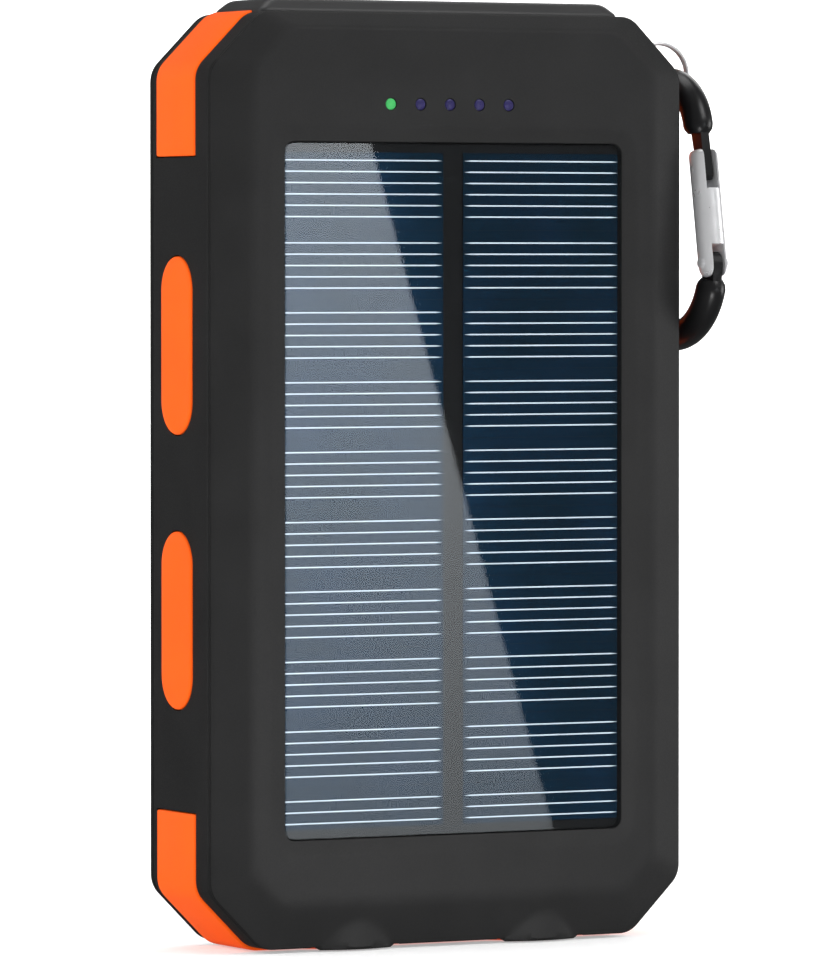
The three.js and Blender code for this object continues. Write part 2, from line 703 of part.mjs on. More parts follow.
function portCover() {
  const { halfWidth, halfDepth, bottom, shoulder, top } = PORT_COVER;
  const plan = (inset) => rectangleOutline(
    -halfWidth + inset * 1.6,
    halfWidth - inset * 1.6,
    -halfDepth + inset,
    halfDepth - inset,
    1.6,
  );
  const pad = loft([
    { at: bottom + FIT, outline: plan(0) },
    { at: shoulder, outline: plan(0) },
    { at: shoulder + 0.8, outline: plan(0.35) },
    { at: top - 0.35, outline: plan(1) },
    { at: top, outline: plan(2) },
  ], ALONG_Z);
  const bung = (x, halfX, halfY) => box(
    x - halfX,
    x + halfX,
    USB_PORT.y - halfY,
    USB_PORT.y + halfY,
    bottom - BUNG_LENGTH,
    bottom + 0.5,
  );
  return join(
    pad,
    bung(-USB_PORT.x, 5.6, 1.8),
    bung(USB_PORT.x, 5.6, 1.8),
    bung(MICRO_PORT.x, 3.1, 0.8),
  );
}

function powerButton() {
  const outline = (inset) => pillOutline(
    BUTTON.y,
    BUTTON.z,
    BUTTON.width - 2 * inset,
    BUTTON.length - 2 * inset,
  );
  const flange = slab(pillOutline(BUTTON.y, BUTTON.z, 6.6, 11), 35.7, 36.4, ALONG_X);
  const cap = loft([
    { at: 35.9, outline: outline(0) },
    { at: BUTTON.outer - 0.4, outline: outline(0) },
    { at: BUTTON.outer, outline: outline(0.7) },
  ], ALONG_X);
  return cut(join(cap, flange), rodAlongX(BUTTON.y, BUTTON.z, 1.1, 34, BUTTON.inner));
}

function buildControls() {
  piece('port_cover', portCover(), BLACK_RUBBER);
  const tether = box(-6, 6, PORT_COVER.halfDepth + 0.15, 9.1, PORT_COVER.bottom - 0.1, CASE_TOP);
  piece('port_cover_tether', tether, BLACK_RUBBER);
  piece('power_button', powerButton(), BLACK_RUBBER);
}

// ---- Lanyard ring and carabiner ----

function rodAlongPath(points, radius, steps, sides = 12) {
  const section = new THREE.Shape(Array.from({ length: sides }, (_, i) => {
    const angle = (2 * Math.PI * i) / sides;
    return new THREE.Vector2(radius * Math.cos(angle), radius * Math.sin(angle));
  }));
  const path = new THREE.CatmullRomCurve3(points);
  return new THREE.ExtrudeGeometry(section, { extrudePath: path, steps, bevelEnabled: false });
}

function bendPoints({ u, w, radius }, fromDegrees, toDegrees, count) {
  return Array.from({ length: count }, (_, i) => {
    const angle = THREE.MathUtils.degToRad(fromDegrees + ((toDegrees - fromDegrees) * i) / (count - 1));
    return new THREE.Vector3(u + radius * Math.cos(angle), w + radius * Math.sin(angle), 0);
  });
}

// Bar in the plane of the carabiner, from one point to another, square in section.
function flatBar(fromU, fromW, toU, toW, width, thickness) {
  const length = Math.hypot(toU - fromU, toW - fromW);
  const bar = new THREE.BoxGeometry(width, length, thickness);
  bar.rotateZ(-Math.atan2(toU - fromU, toW - fromW));
  return bar.translate((fromU + toU) / 2, (fromW + toW) / 2, 0);
}

function carabinerBody() {
  const rod = rodAlongPath([
    ...bendPoints(TOP_BEND, 8, 180, 9),
    ...bendPoints(LOW_BEND, 180, 348, 9),
  ], CARABINER.rod, 52);
  const noseU = TOP_BEND.u + TOP_BEND.radius;
  const nose = flatBar(noseU + 0.1, TOP_BEND.w + 2, noseU + 1.7, 115.2, 2.2, 1.5);
  const hingeTang = flatBar(GATE.pivotU - 0.4, 99, GATE.pivotU, GATE.pivotW + 1.6, 3.2, 1.6);
  const rivetHole = new THREE.CylinderGeometry(0.75, 0.75, 10, 12).rotateX(Math.PI / 2);
  return cut(join(rod, nose, hingeTang), rivetHole.translate(GATE.pivotU, GATE.pivotW, 0));
}

// Tube that closes the carabiner, slotted at its foot for the tang and at its head for the nose.
function carabinerGate() {
  const length = Math.hypot(GATE.tipU - GATE.pivotU, GATE.tipW - GATE.pivotW);
  const lean = Math.atan2(GATE.tipU - GATE.pivotU, GATE.tipW - GATE.pivotW);
  const tube = new THREE.CylinderGeometry(GATE.radius, GATE.radius, length + 1.2, 20);
  tube.translate(0, length / 2 - 0.6, 0);
  const footSlot = box(-5, 5, -3, 2.6, -1.15, 1.15);
  const headSlot = box(-1.7, 5, length - 5.6, length + 3, -1.1, 1.1);
  const bore = new THREE.CylinderGeometry(1.1, 1.1, length, 12).translate(0, 2.5 + length / 2, 0);
  const shortBore = common(bore, box(-5, 5, 2, length - 6.5, -5, 5));
  const rivetHole = new THREE.CylinderGeometry(0.75, 0.75, 10, 12).rotateX(Math.PI / 2);
  const gate = cut(tube, footSlot, headSlot, shortBore, rivetHole);
  return gate.rotateZ(-lean).translate(GATE.pivotU, GATE.pivotW, 0);
}

function gateSpring() {
  const length = Math.hypot(GATE.tipU - GATE.pivotU, GATE.tipW - GATE.pivotW);
  const lean = Math.atan2(GATE.tipU - GATE.pivotU, GATE.tipW - GATE.pivotW);
  const spring = new THREE.CylinderGeometry(0.8, 0.8, length - 10.2, 10).translate(0, 3 + (length - 10.2) / 2, 0);
  return spring.rotateZ(-lean).translate(GATE.pivotU, GATE.pivotW, 0);
}

function buildLanyard() {
  const pin = rodAlongY(
    LANYARD_PIN.x,
    LANYARD_PIN.z,
    LANYARD_PIN.radius,
    -LANYARD_PIN.halfLength,
    LANYARD_PIN.halfLength,
  );
  piece('lanyard_pin', pin, POLISHED_STEEL);
  const ring = new THREE.TorusGeometry(RING.radius, RING.wire, 8, 36).rotateX(Math.PI / 2);
  piece('lanyard_ring', ring.translate(RING.x, 0, RING.z), POLISHED_STEEL);

  const hanging = new THREE.Group();
  const turn = THREE.MathUtils.degToRad(CARABINER.turnDegrees);
  const frontward = new THREE.Vector3(Math.sin(turn), -Math.cos(turn), 0);
  const upward = new THREE.Vector3(0, 0, 1);
  const across = frontward.clone().cross(upward);
  hanging.quaternion.setFromRotationMatrix(new THREE.Matrix4().makeBasis(frontward, upward, across));
  hanging.position.set(CARABINER.x, 0, 0);
  charger.add(hanging);
  piece('carabiner_body', carabinerBody(), BLACK_ANODISED, hanging);
  piece('carabiner_gate', carabinerGate(), POLISHED_STEEL, hanging);
  const rivet = new THREE.CylinderGeometry(0.6, 0.6, 2 * GATE.radius + 0.2, 12).rotateX(Math.PI / 2);
  piece('gate_rivet', rivet.translate(GATE.pivotU, GATE.pivotW, 0), POLISHED_STEEL, hanging);
  piece('gate_spring', gateSpring(), POLISHED_STEEL, hanging);
}

buildCase();
buildSolarPanel();
buildIndicator();
buildElectronics();
buildBattery();
buildFlashlights();
buildCompass();
buildControls();
buildLanyard();

export default charger;
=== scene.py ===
import math

import bmesh
import bpy
from mathutils import Matrix, Vector


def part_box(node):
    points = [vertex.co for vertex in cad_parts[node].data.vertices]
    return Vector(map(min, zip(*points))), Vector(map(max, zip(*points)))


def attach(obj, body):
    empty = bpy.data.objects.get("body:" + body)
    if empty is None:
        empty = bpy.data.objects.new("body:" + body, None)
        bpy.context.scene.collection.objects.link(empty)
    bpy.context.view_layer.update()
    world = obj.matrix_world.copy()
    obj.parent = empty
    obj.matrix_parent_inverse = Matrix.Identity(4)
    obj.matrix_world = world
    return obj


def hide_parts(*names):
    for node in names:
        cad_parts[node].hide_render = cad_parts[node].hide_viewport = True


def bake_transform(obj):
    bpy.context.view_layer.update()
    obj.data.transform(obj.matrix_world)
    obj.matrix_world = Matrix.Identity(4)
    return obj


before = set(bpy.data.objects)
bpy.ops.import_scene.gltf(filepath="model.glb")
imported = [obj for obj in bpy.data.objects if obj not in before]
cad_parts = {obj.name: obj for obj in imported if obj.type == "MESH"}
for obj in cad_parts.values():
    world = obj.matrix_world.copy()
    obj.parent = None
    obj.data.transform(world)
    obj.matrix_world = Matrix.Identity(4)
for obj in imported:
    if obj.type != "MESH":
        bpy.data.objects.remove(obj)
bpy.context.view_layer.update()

# ---- Units and shared sizes, in millimetres ----

MM = 0.001


def node_box(node):
    low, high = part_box(node)
    return low / MM, high / MM


def node_centre(node):
    low, high = node_box(node)
    return (low + high) / 2


case_low, case_high = node_box("mid_frame")
glass_low, glass_high = node_box("solar_panel_glass")
corner_low, corner_high = node_box("corner_trim_left")
light_centre = node_centre("reflector_right")

HALF_WIDTH = case_high.x
CASE_TOP = case_high.z
FOOT_HEIGHT = 0.45
CASE_FLOOR = case_low.z + FOOT_HEIGHT
CORNER_LEG = 8.6
CORNER_ROUND = 1.8
ARC_STEPS = 8
LIGHT_X = light_centre.x
LIGHT_Y = light_centre.y
RING_SWING = 70

# A 45 degree corner's leg shrinks by this share of the insets on its two sides.
CORNER_SHRINK = 0.293
# Shares of a corner radius that make an octagon corner follow the same arc.
ARC_LEG = 0.586
ARC_ROUND = 0.41


# ---- Outlines ----

def corner_curve(start, corner, end, steps):
    """Points along the curve that rounds off a corner."""
    shares = [k / steps for k in range(steps + 1)]
    return [start * (1 - t) ** 2 + corner * 2 * t * (1 - t) + end * t ** 2 for t in shares]


def toward(here, there, distance):
    return here + (there - here).normalized() * distance


def rounded(corners, radius, edge_steps=None, steps=ARC_STEPS):
    """Closed outline with rounded corners. edge_steps splits the edge that follows a corner."""
    corners = [Vector(c) for c in corners]
    points = []
    for i, corner in enumerate(corners):
        after = corners[(i + 1) % len(corners)]
        start = toward(corner, corners[i - 1], radius)
        end = toward(corner, after, radius)
        points += corner_curve(start, corner, end, steps)
        splits = (edge_steps or {}).get(i, 1)
        next_start = toward(after, corner, radius)
        points += [end.lerp(next_start, k / splits) for k in range(1, splits)]
    return points


def box_corners(left, right, low, high):
    return [(left, low), (right, low), (right, high), (left, high)]


def octagon(left, right, low, high, low_leg, high_leg, radius, edge_steps=None):
    corners = [
        (left + low_leg, low),
        (right - low_leg, low),
        (right, low + low_leg),
        (right, high - high_leg),
        (right - high_leg, high),
        (left + high_leg, high),
        (left, high - high_leg),
        (left, low + low_leg),
    ]
    return rounded(corners, radius, edge_steps)


def case_outline(side, bottom=None, top=None, edge_steps=None):
    """Outline of the case, set in by side, bottom and top."""
    bottom = side if bottom is None else bottom
    top = side if top is None else top
    low_leg = CORNER_LEG - CORNER_SHRINK * (side + bottom)
    high_leg = CORNER_LEG - CORNER_SHRINK * (side + top)
    half = HALF_WIDTH - side
    low, high = CASE_FLOOR + bottom, CASE_TOP - top
    return octagon(-half, half, low, high, low_leg, high_leg, CORNER_ROUND, edge_steps)


def soft_rectangle(left, right, low, high, radius, edge_steps=None):
    """A rounded rectangle with the same number of points as the case outline."""
    leg = ARC_LEG * radius
    return octagon(left, right, low, high, leg, leg, ARC_ROUND * radius, edge_steps)


def arc(u, v, radius, start, end, count):
    """Points along an arc, its ends in degrees."""
    points = []
    for i in range(count):
        angle = math.radians(start + (end - start) * i / (count - 1))
        points.append((u + radius * math.cos(angle), v + radius * math.sin(angle)))
    return points


def pill(centre, width, length, steps):
    """Pill outline seen from the side, around the y and z of centre."""
    radius = width / 2
    reach = length / 2 - radius
    upper = arc(centre.y, centre.z + reach, radius, 0, 180, steps + 1)
    lower = arc(centre.y, centre.z - reach, radius, 180, 360, steps + 1)
    return upper + lower


def node_pill(node, grow, steps):
    low, high = node_box(node)
    return pill(node_centre(node), high.y - low.y + grow, high.z - low.z + grow, steps)


def rounded_profile(corners, radii, steps=6):
    """Open profile through corners, each inner corner rounded by its own radius."""
    corners = [Vector(c) for c in corners]
    points = corners[:1]
    for before, here, after, radius in zip(corners, corners[1:], corners[2:], radii):
        points += corner_curve(toward(here, before, radius), here, toward(here, after, radius), steps)
    return points + corners[-1:]


# ---- Meshes ----

def mesh_object(name, vertices, faces):
    mesh = bpy.data.meshes.new(name)
    mesh.from_pydata([tuple(c * MM for c in v) for v in vertices], [], faces)
    shape = bmesh.new()
    shape.from_mesh(mesh)
    bmesh.ops.recalc_face_normals(shape, faces=shape.faces)
    if shape.calc_volume(signed=True) < 0:
        bmesh.ops.reverse_faces(shape, faces=shape.faces)
    shape.to_mesh(mesh)
    shape.free()
    obj = bpy.data.objects.new(name, mesh)
    bpy.context.scene.collection.objects.link(obj)
    return obj


def along_x(u, v, at):
    return (at, u, v)


def along_y(u, v, at):
    return (u, at, v)


def along_z(u, v, at):
    return (u, v, at)


def skin(name, rings, closed=False):
    """Skin over rings of 3-D points, with a cap at each end unless the rings close on themselves."""
    count = len(rings[0])
    last = len(rings)
    vertices = [point for ring in rings for point in ring]
    faces = []
    for ring in range(last if closed else last - 1):
        for i in range(count):
            a = ring * count + i
            b = ring * count + (i + 1) % count
            c = (ring + 1) % last * count + (i + 1) % count
            d = (ring + 1) % last * count + i
            faces.append((a, b, c, d))
    if not closed:
        faces.append(tuple(range(count)))
        faces.append(tuple(range((last - 1) * count, last * count)))
    return mesh_object(name, vertices, faces)


def loft(name, sections, place, closed=False):
    """Skin over flat outlines with equal point counts, each (distance, outline)."""
    rings = [[place(p[0], p[1], at) for p in outline] for at, outline in sections]
    return skin(name, rings, closed)


def turned(name, profile, centre, place, sides=64):
    """Solid of revolution. The profile is (radius, height) pairs from axis to axis or closed on itself."""
    vertices = []
    faces = []
    rows = []
    for radius, height in profile:
        if radius < 1e-6:
            rows.append([len(vertices)])
            vertices.append(place(centre[0], centre[1], height))
            continue
        rows.append([len(vertices) + i for i in range(sides)])
        for i in range(sides):
            angle = 2 * math.pi * i / sides
            u = centre[0] + radius * math.cos(angle)
            v = centre[1] + radius * math.sin(angle)
            vertices.append(place(u, v, height))
    closed = profile[0][0] > 1e-6
    pairs = list(zip(rows, rows[1:])) + ([(rows[-1], rows[0])] if closed else [])
    for low, high in pairs:
        for i in range(sides):
            j = (i + 1) % sides
            if len(low) == 1 and len(high) == 1:
                continue
            if len(low) == 1:
                faces.append((low[0], high[j], high[i]))
            elif len(high) == 1:
                faces.append((low[i], low[j], high[0]))
            else:
                faces.append((low[i], low[j], high[j], high[i]))
    return mesh_object(name, vertices, faces)


def block(name, low, high):
    outline = box_corners(low[0], high[0], low[1], high[1])
    return loft(name, [(low[2], outline), (high[2], outline)], along_z)


def tube(name, points, radius, sides, up):
    """Round bar along points. radius is one number, or one for each point."""
    radii = radius if isinstance(radius, list) else [radius] * len(points)
    points = [Vector(p) for p in points]
    rings = []
    for i, (point, size) in enumerate(zip(points, radii)):
        before = points[max(i - 1, 0)]
        after = points[min(i + 1, len(points) - 1)]
        direction = (after - before).normalized()
        across = direction.cross(up).normalized()
        other = across.cross(direction).normalized()
        ring = []
        for k in range(sides):
            angle = 2 * math.pi * k / sides
            spoke = across * (size * math.cos(angle)) + other * (size * math.sin(angle))
            ring.append(tuple(point + spoke))
        rings.append(ring)
    return skin(name, rings)


def bake_modifiers(obj):
    """Replaces a mesh by its result after modifiers."""
    graph = bpy.context.evaluated_depsgraph_get()
    graph.update()
    mesh = bpy.data.meshes.new_from_object(obj.evaluated_get(graph))
    obj.modifiers.clear()
    old = obj.data
    obj.data = mesh
    bpy.data.meshes.remove(old)


def combine(obj, tools, operation):
    for tool in tools:
        modifier = obj.modifiers.new("combine", "BOOLEAN")
        modifier.operation = operation
        modifier.solver = "MANIFOLD"
        modifier.object = tool
        bake_modifiers(obj)
        bpy.data.objects.remove(tool)


def cut(obj, *tools):
    combine(obj, tools, "DIFFERENCE")


def join(obj, *tools):
    combine(obj, tools, "UNION")


def round_edges(obj, width, segments):
    modifier = obj.modifiers.new("round", "BEVEL")
    modifier.width = width * MM
    modifier.segments = segments
    modifier.limit_method = "ANGLE"
    modifier.angle_limit = math.radians(35)
    bake_modifiers(obj)


def smooth(obj, sharp):
    """Smooth shading, except over edges sharper than an angle in degrees."""
    for polygon in obj.data.polygons:
        polygon.use_smooth = True
    obj.data.set_sharp_from_angle(angle=math.radians(sharp))


def finish(obj, material, body, nodes=(), sharp=38):
    """Gives a piece its material and smooth shading, puts it in its body, and hides the CAD nodes that it
    stands for.
    """
    obj.data.materials.clear()
    obj.data.materials.append(material)
    smooth(obj, sharp)
    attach(obj, body)
    if nodes:
        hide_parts(*nodes)


# ---- Materials ----

DRIFT_SIZE = 9.0
GRAIN_DEPTH = 0.05
GLOSS_SPREAD = 0.1


def new_material(name):
    material = bpy.data.materials.new(name)
    material.use_nodes = True
    return material, material.node_tree.nodes, material.node_tree.links


def noise(nodes, links, size, detail=2.0):
    """Noise in object space whose features are about size millimetres."""
    place = nodes.new("ShaderNodeTexCoord")
    texture = nodes.new("ShaderNodeTexNoise")
    texture.inputs["Scale"].default_value = 1 / (size * MM)
    texture.inputs["Detail"].default_value = detail
    links.new(place.outputs["Object"], texture.inputs["Vector"])
    return texture.outputs["Fac"]


def remap(nodes, links, value, low, high, from_low=0.3, from_high=0.7):
    node = nodes.new("ShaderNodeMapRange")
    node.inputs["From Min"].default_value = from_low
    node.inputs["From Max"].default_value = from_high
    node.inputs["To Min"].default_value = low
    node.inputs["To Max"].default_value = high
    links.new(value, node.inputs["Value"])
    return node.outputs["Result"]


def blend_colors(nodes, links, factor, first, second):
    node = nodes.new("ShaderNodeMix")
    node.data_type = "RGBA"
    links.new(factor, node.inputs["Factor"])
    node.inputs["A"].default_value = (*first, 1)
    node.inputs["B"].default_value = (*second, 1)
    return node.outputs["Result"]


def surface(name, color, roughness, metallic=0.0, specular=0.5, grain=0.35, bump=0.08, drift=0.08):
    """Moulded or machined surface: fine grain in the normal, slow drift in colour and gloss."""
    material, nodes, links = new_material(name)
    shader = nodes["Principled BSDF"]
    shader.inputs["Metallic"].default_value = metallic
    shader.inputs["Specular IOR Level"].default_value = specular
    slow = noise(nodes, links, DRIFT_SIZE, detail=3.0)
    share = remap(nodes, links, slow, 0.0, 1.0)
    darker = [c * (1 - drift) for c in color]
    lighter = [min(c * (1 + drift), 1.0) for c in color]
    links.new(blend_colors(nodes, links, share, darker, lighter), shader.inputs["Base Color"])
    fine = noise(nodes, links, grain)
    spread = GLOSS_SPREAD * roughness
    links.new(remap(nodes, links, fine, roughness - spread, roughness + spread), shader.inputs["Roughness"])
    if bump:
        relief = nodes.new("ShaderNodeBump")
        relief.inputs["Strength"].default_value = bump
        relief.inputs["Distance"].default_value = GRAIN_DEPTH * MM
        links.new(fine, relief.inputs["Height"])
        links.new(relief.outputs["Normal"], shader.inputs["Normal"])
    return material


def clear_sheet(name, tint, roughness, reflect=1.0):
    """Thin clear sheet: see-through, with a glossy skin whose strength follows the viewing angle."""
    material, nodes, links = new_material(name)
    nodes.remove(nodes["Principled BSDF"])
    through = nodes.new("ShaderNodeBsdfTransparent")
    through.inputs["Color"].default_value = (*tint, 1)
    gloss = nodes.new("ShaderNodeBsdfGlossy")
    gloss.inputs["Roughness"].default_value = roughness
    gloss.inputs["Color"].default_value = (reflect, reflect, reflect, 1)
    facing = nodes.new("ShaderNodeLayerWeight")
    facing.inputs["Blend"].default_value = 0.5
    steep = nodes.new("ShaderNodeMath")
    steep.operation = "POWER"
    steep.inputs[1].default_value = 5
    links.new(facing.outputs["Facing"], steep.inputs[0])
    mix = nodes.new("ShaderNodeMixShader")
    links.new(remap(nodes, links, steep.outputs["Value"], 0.04, 1.0, 0.0, 1.0), mix.inputs["Fac"])
    links.new(through.outputs["BSDF"], mix.inputs[1])
    links.new(gloss.outputs["BSDF"], mix.inputs[2])
    links.new(mix.outputs["Shader"], nodes["Material Output"].inputs["Surface"])
    return material


def metal(name, color, roughness, metallic, drift=0.03):
    return surface(name, color, roughness, metallic, grain=2.0, bump=0.0, drift=drift)


def glowing(name, color, strength, base):
    material = surface(name, base, 0.3, bump=0.0)
    shader = material.node_tree.nodes["Principled BSDF"]
    shader.inputs["Emission Color"].default_value = (*color, 1)
    shader.inputs["Emission Strength"].default_value = strength
    return material


def solar_cell_material():
    """Dark blue silicon under a printed grid, its tint drifting a little from place to place."""
    material, nodes, links = new_material("solar_cell")
    shader = nodes["Principled BSDF"]
    shader.inputs["Metallic"].default_value = 0.45
    shader.inputs["Roughness"].default_value = 0.1
    shader.inputs["Specular IOR Level"].default_value = 0.0
    drift = remap(nodes, links, noise(nodes, links, 14.0, detail=4.0), 0.0, 1.0)
    tint = blend_colors(nodes, links, drift, (0.0022, 0.0135, 0.024), (0.0042, 0.019, 0.04))
    links.new(tint, shader.inputs["Base Color"])
    return material


case_black = surface(
    "case_black", (0.0105, 0.0105, 0.0107), 0.6, specular=0.34, grain=0.22, bump=0.18, drift=0.1,
)
soft_black = surface("soft_black", (0.024, 0.024, 0.0245), 0.45, grain=0.12, bump=0.1)
orange_rubber = surface(
    "orange_rubber", (0.82, 0.094, 0.003), 0.55, specular=0.09, grain=0.15, bump=0.1, drift=0.04,
)
panel_glass = clear_sheet("panel_glass", (0.96, 0.98, 1.0), 0.015, reflect=0.6)
lens_plastic = clear_sheet("lens_plastic", (0.97, 0.98, 0.99), 0.03)
backing_black = surface("backing_black", (0.0035, 0.0035, 0.0035), 0.45, specular=0.15, bump=0.03)
grid_silver = surface("grid_silver", (0.7, 0.76, 0.8), 0.4, metallic=0.25, bump=0.02)
board_green = surface("board_green", (0.01, 0.09, 0.03), 0.4, bump=0.05)
plated_steel = metal("plated_steel", (0.78, 0.785, 0.8), 0.3, 0.7)
bright_aluminium = metal("bright_aluminium", (0.82, 0.825, 0.84), 0.3, 0.7)
mirror_metal = metal("mirror_metal", (0.9, 0.9, 0.91), 0.08, 1.0, drift=0.02)
anodised_black = surface("anodised_black", (0.004, 0.004, 0.0045), 0.32, grain=0.15, bump=0.05)
white_plastic = surface("white_plastic", (0.75, 0.74, 0.7), 0.45)
chip_black = surface("chip_black", (0.012, 0.012, 0.013), 0.5)
battery_foil = surface("battery_foil", (0.55, 0.57, 0.6), 0.35, metallic=0.9, grain=1.5, bump=0.2)
foam_grey = surface("foam_grey", (0.06, 0.065, 0.07), 0.9, grain=0.4, bump=0.5)
phosphor = surface("phosphor", (0.85, 0.75, 0.2), 0.4, bump=0.03)
dial_black = surface("dial_black", (0.008, 0.009, 0.009), 0.5, bump=0.03)
dial_white = surface("dial_white", (0.78, 0.8, 0.78), 0.5, bump=0.02)
green_light = glowing("green_light", (0.04, 0.42, 0.1), 0.7, (0.02, 0.16, 0.04))
violet_light = glowing("violet_light", (0.03, 0.015, 0.3), 0.05, (0.013, 0.009, 0.06))
solar_cell = solar_cell_material()
needle_green = surface("needle_green", (0.25, 0.5, 0.28), 0.5, bump=0.02)


# ---- Camera, stage and lights ----

CAMERA_AZIMUTH = math.radians(-28)
CAMERA_DISTANCE = 1138
CAMERA_RISE = 33
AIM = Vector((-4.15, -7.3, 70))
FLOOR_Z = -0.15
FLOOR_RADIUS = 3000
SWEEP_RADIUS = 900
WALL_TOP = 3800


def place_camera():
    data = bpy.data.cameras.new("camera")
    data.lens = 284
    data.sensor_width = 36
    data.clip_end = 20
    camera = bpy.data.objects.new("camera", data)
    bpy.context.scene.collection.objects.link(camera)
    outward = Vector((math.sin(CAMERA_AZIMUTH), -math.cos(CAMERA_AZIMUTH), 0))
    position = AIM + outward * CAMERA_DISTANCE + Vector((0, 0, CAMERA_RISE))
    camera.location = position * MM
    camera.rotation_euler = (AIM - position).to_track_quat("-Z", "Y").to_euler()
    bpy.context.scene.camera = camera
    return position


def build_sweep():
    """Pale floor that curves up into a wall all round."""
    profile = [(0, FLOOR_Z), (400, FLOOR_Z)]
    profile += arc(FLOOR_RADIUS, FLOOR_Z + SWEEP_RADIUS, SWEEP_RADIUS, -90, 0, 13)
    profile.append((FLOOR_RADIUS + SWEEP_RADIUS, WALL_TOP))
    vertices = []
    faces = []
    sides = 64
    for radius, height in profile:
        for i in range(sides):
            angle = 2 * math.pi * i / sides
            vertices.append((radius * math.cos(angle), radius * math.sin(angle), height))
    for row in range(len(profile) - 1):
        for i in range(sides):
            a = row * sides + i
            b = row * sides + (i + 1) % sides
            faces.append((a, b, b + sides, a + sides))
    return mesh_object("sweep", vertices, faces)


def sweep_material():
    """White paper that glows a little, more so away from the object."""
    material, nodes, links = new_material("sweep_white")
    shader = nodes["Principled BSDF"]
    shader.inputs["Base Color"].default_value = (0.75, 0.75, 0.75, 1)
    shader.inputs["Roughness"].default_value = 0.9
    shader.inputs["Specular IOR Level"].default_value = 0.0
    place = nodes.new("ShaderNodeTexCoord")
    distance = nodes.new("ShaderNodeVectorMath")
    distance.operation = "LENGTH"
    links.new(place.outputs["Object"], distance.inputs[0])
    glow = remap(nodes, links, distance.outputs["Value"], 0.35, 0.95, 0.2, 1.8)
    shader.inputs["Emission Color"].default_value = (1, 1, 1, 1)
    links.new(glow, shader.inputs["Emission Strength"])
    return material


def area_light(name, position, size, power, target):
    data = bpy.data.lights.new(name, "AREA")
    data.shape = "RECTANGLE"
    data.size, data.size_y = (s * MM for s in size)
    data.energy = power
    light = bpy.data.objects.new(name, data)
    bpy.context.scene.collection.objects.link(light)
    light.location = Vector(position) * MM
    light.rotation_euler = (Vector(target) - Vector(position)).to_track_quat("-Z", "Y").to_euler()
    light.visible_camera = False


def build_stage():
    scene = bpy.context.scene
    scene.view_settings.view_transform = "Standard"
    world = bpy.data.worlds.new("studio")
    world.use_nodes = True
    background = world.node_tree.nodes["Background"]
    background.inputs["Color"].default_value = (1, 1, 1, 1)
    background.inputs["Strength"].default_value = 0.12
    scene.world = world
    sweep = build_sweep()
    sweep.data.materials.append(sweep_material())
    for polygon in sweep.data.polygons:
        polygon.use_smooth = True
    sweep.visible_glossy = False
    area_light("key", (1070, -300, 60), (500, 500), 2.6, (0, 0, 60))
    area_light("high_key", (420, -800, 820), (500, 500), 3.2, (0, 0, 60))
    area_light("edge_left", (-1000, 150, 350), (160, 700), 1.6, (0, 0, 70))
    area_light("top", (0, 250, 1300), (900, 600), 4, (0, 0, 0))
    area_light("back_right", (800, 700, 700), (600, 600), 2.5, (0, 0, 60))
    area_light("low_fill", (8, -150, 8), (50, 16), 0.062, (0, -14, 6))


def build_reflection_card(camera_position):
    """Bright card that the panel glass mirrors towards the camera, ending in a slanted edge."""
    mirror = Vector((camera_position.x, 2 * glass_low.y - camera_position.y, camera_position.z))
    reach = 1.5
    foot_z, top_z = 13, 124
    outer_x = -60
    seen = [(outer_x, foot_z), (18.2, foot_z), (-15.2, top_z), (outer_x, top_z)]
    corners = [mirror + (Vector((x, glass_low.y, z)) - mirror) * reach for x, z in seen]
    card = mesh_object("reflection_card", [tuple(c) for c in corners], [(0, 1, 2, 3)])
    material, nodes, links = new_material("card_glow")
    nodes.remove(nodes["Principled BSDF"])
    glow = nodes.new("ShaderNodeEmission")
    glow.inputs["Color"].default_value = (0.93, 0.97, 1.0, 1)
    place = nodes.new("ShaderNodeTexCoord")
    parts = nodes.new("ShaderNodeSeparateXYZ")
    links.new(place.outputs["Object"], parts.inputs["Vector"])
    low = corners[0].z * MM
    high = corners[3].z * MM
    links.new(remap(nodes, links, parts.outputs["Z"], 2.0, 4.4, low, high), glow.inputs["Strength"])
    links.new(glow.outputs["Emission"], nodes["Material Output"].inputs["Surface"])
    card.data.materials.append(material)
    card.visible_camera = False
    card.visible_diffuse = False
    card.visible_shadow = False


# ---- Covers ----

PARTING_FRONT = case_low.y
PARTING_REAR = case_high.y
FRONT_FACE = node_box("front_cover")[0].y
REAR_FACE = node_box("rear_cover")[1].y
BOTTOM_STEPS = 150
BULGE_DROP = 0.42
BULGE_SOFTNESS = 0.03
BEND_STEPS = 7
SLOPE_STEPS = 8


def polyline_length(points):
    return sum((b - a).length for a, b in zip(points, points[1:]))


def sample_polyline(points, shares):
    """Points at the given shares of a polyline's length."""
    total = polyline_length(points)
    result = []
    walked = 0
    segment = 0
    for share in shares:
        target = share * total
        while segment < len(points) - 2:
            length = (points[segment + 1] - points[segment]).length
            if walked + length >= target:
                break
            walked += length
            segment += 1
        length = (points[segment + 1] - points[segment]).length
        t = (target - walked) / length if length > 1e-9 else 0
        result.append(points[segment].lerp(points[segment + 1], min(max(t, 0), 1)))
    return result


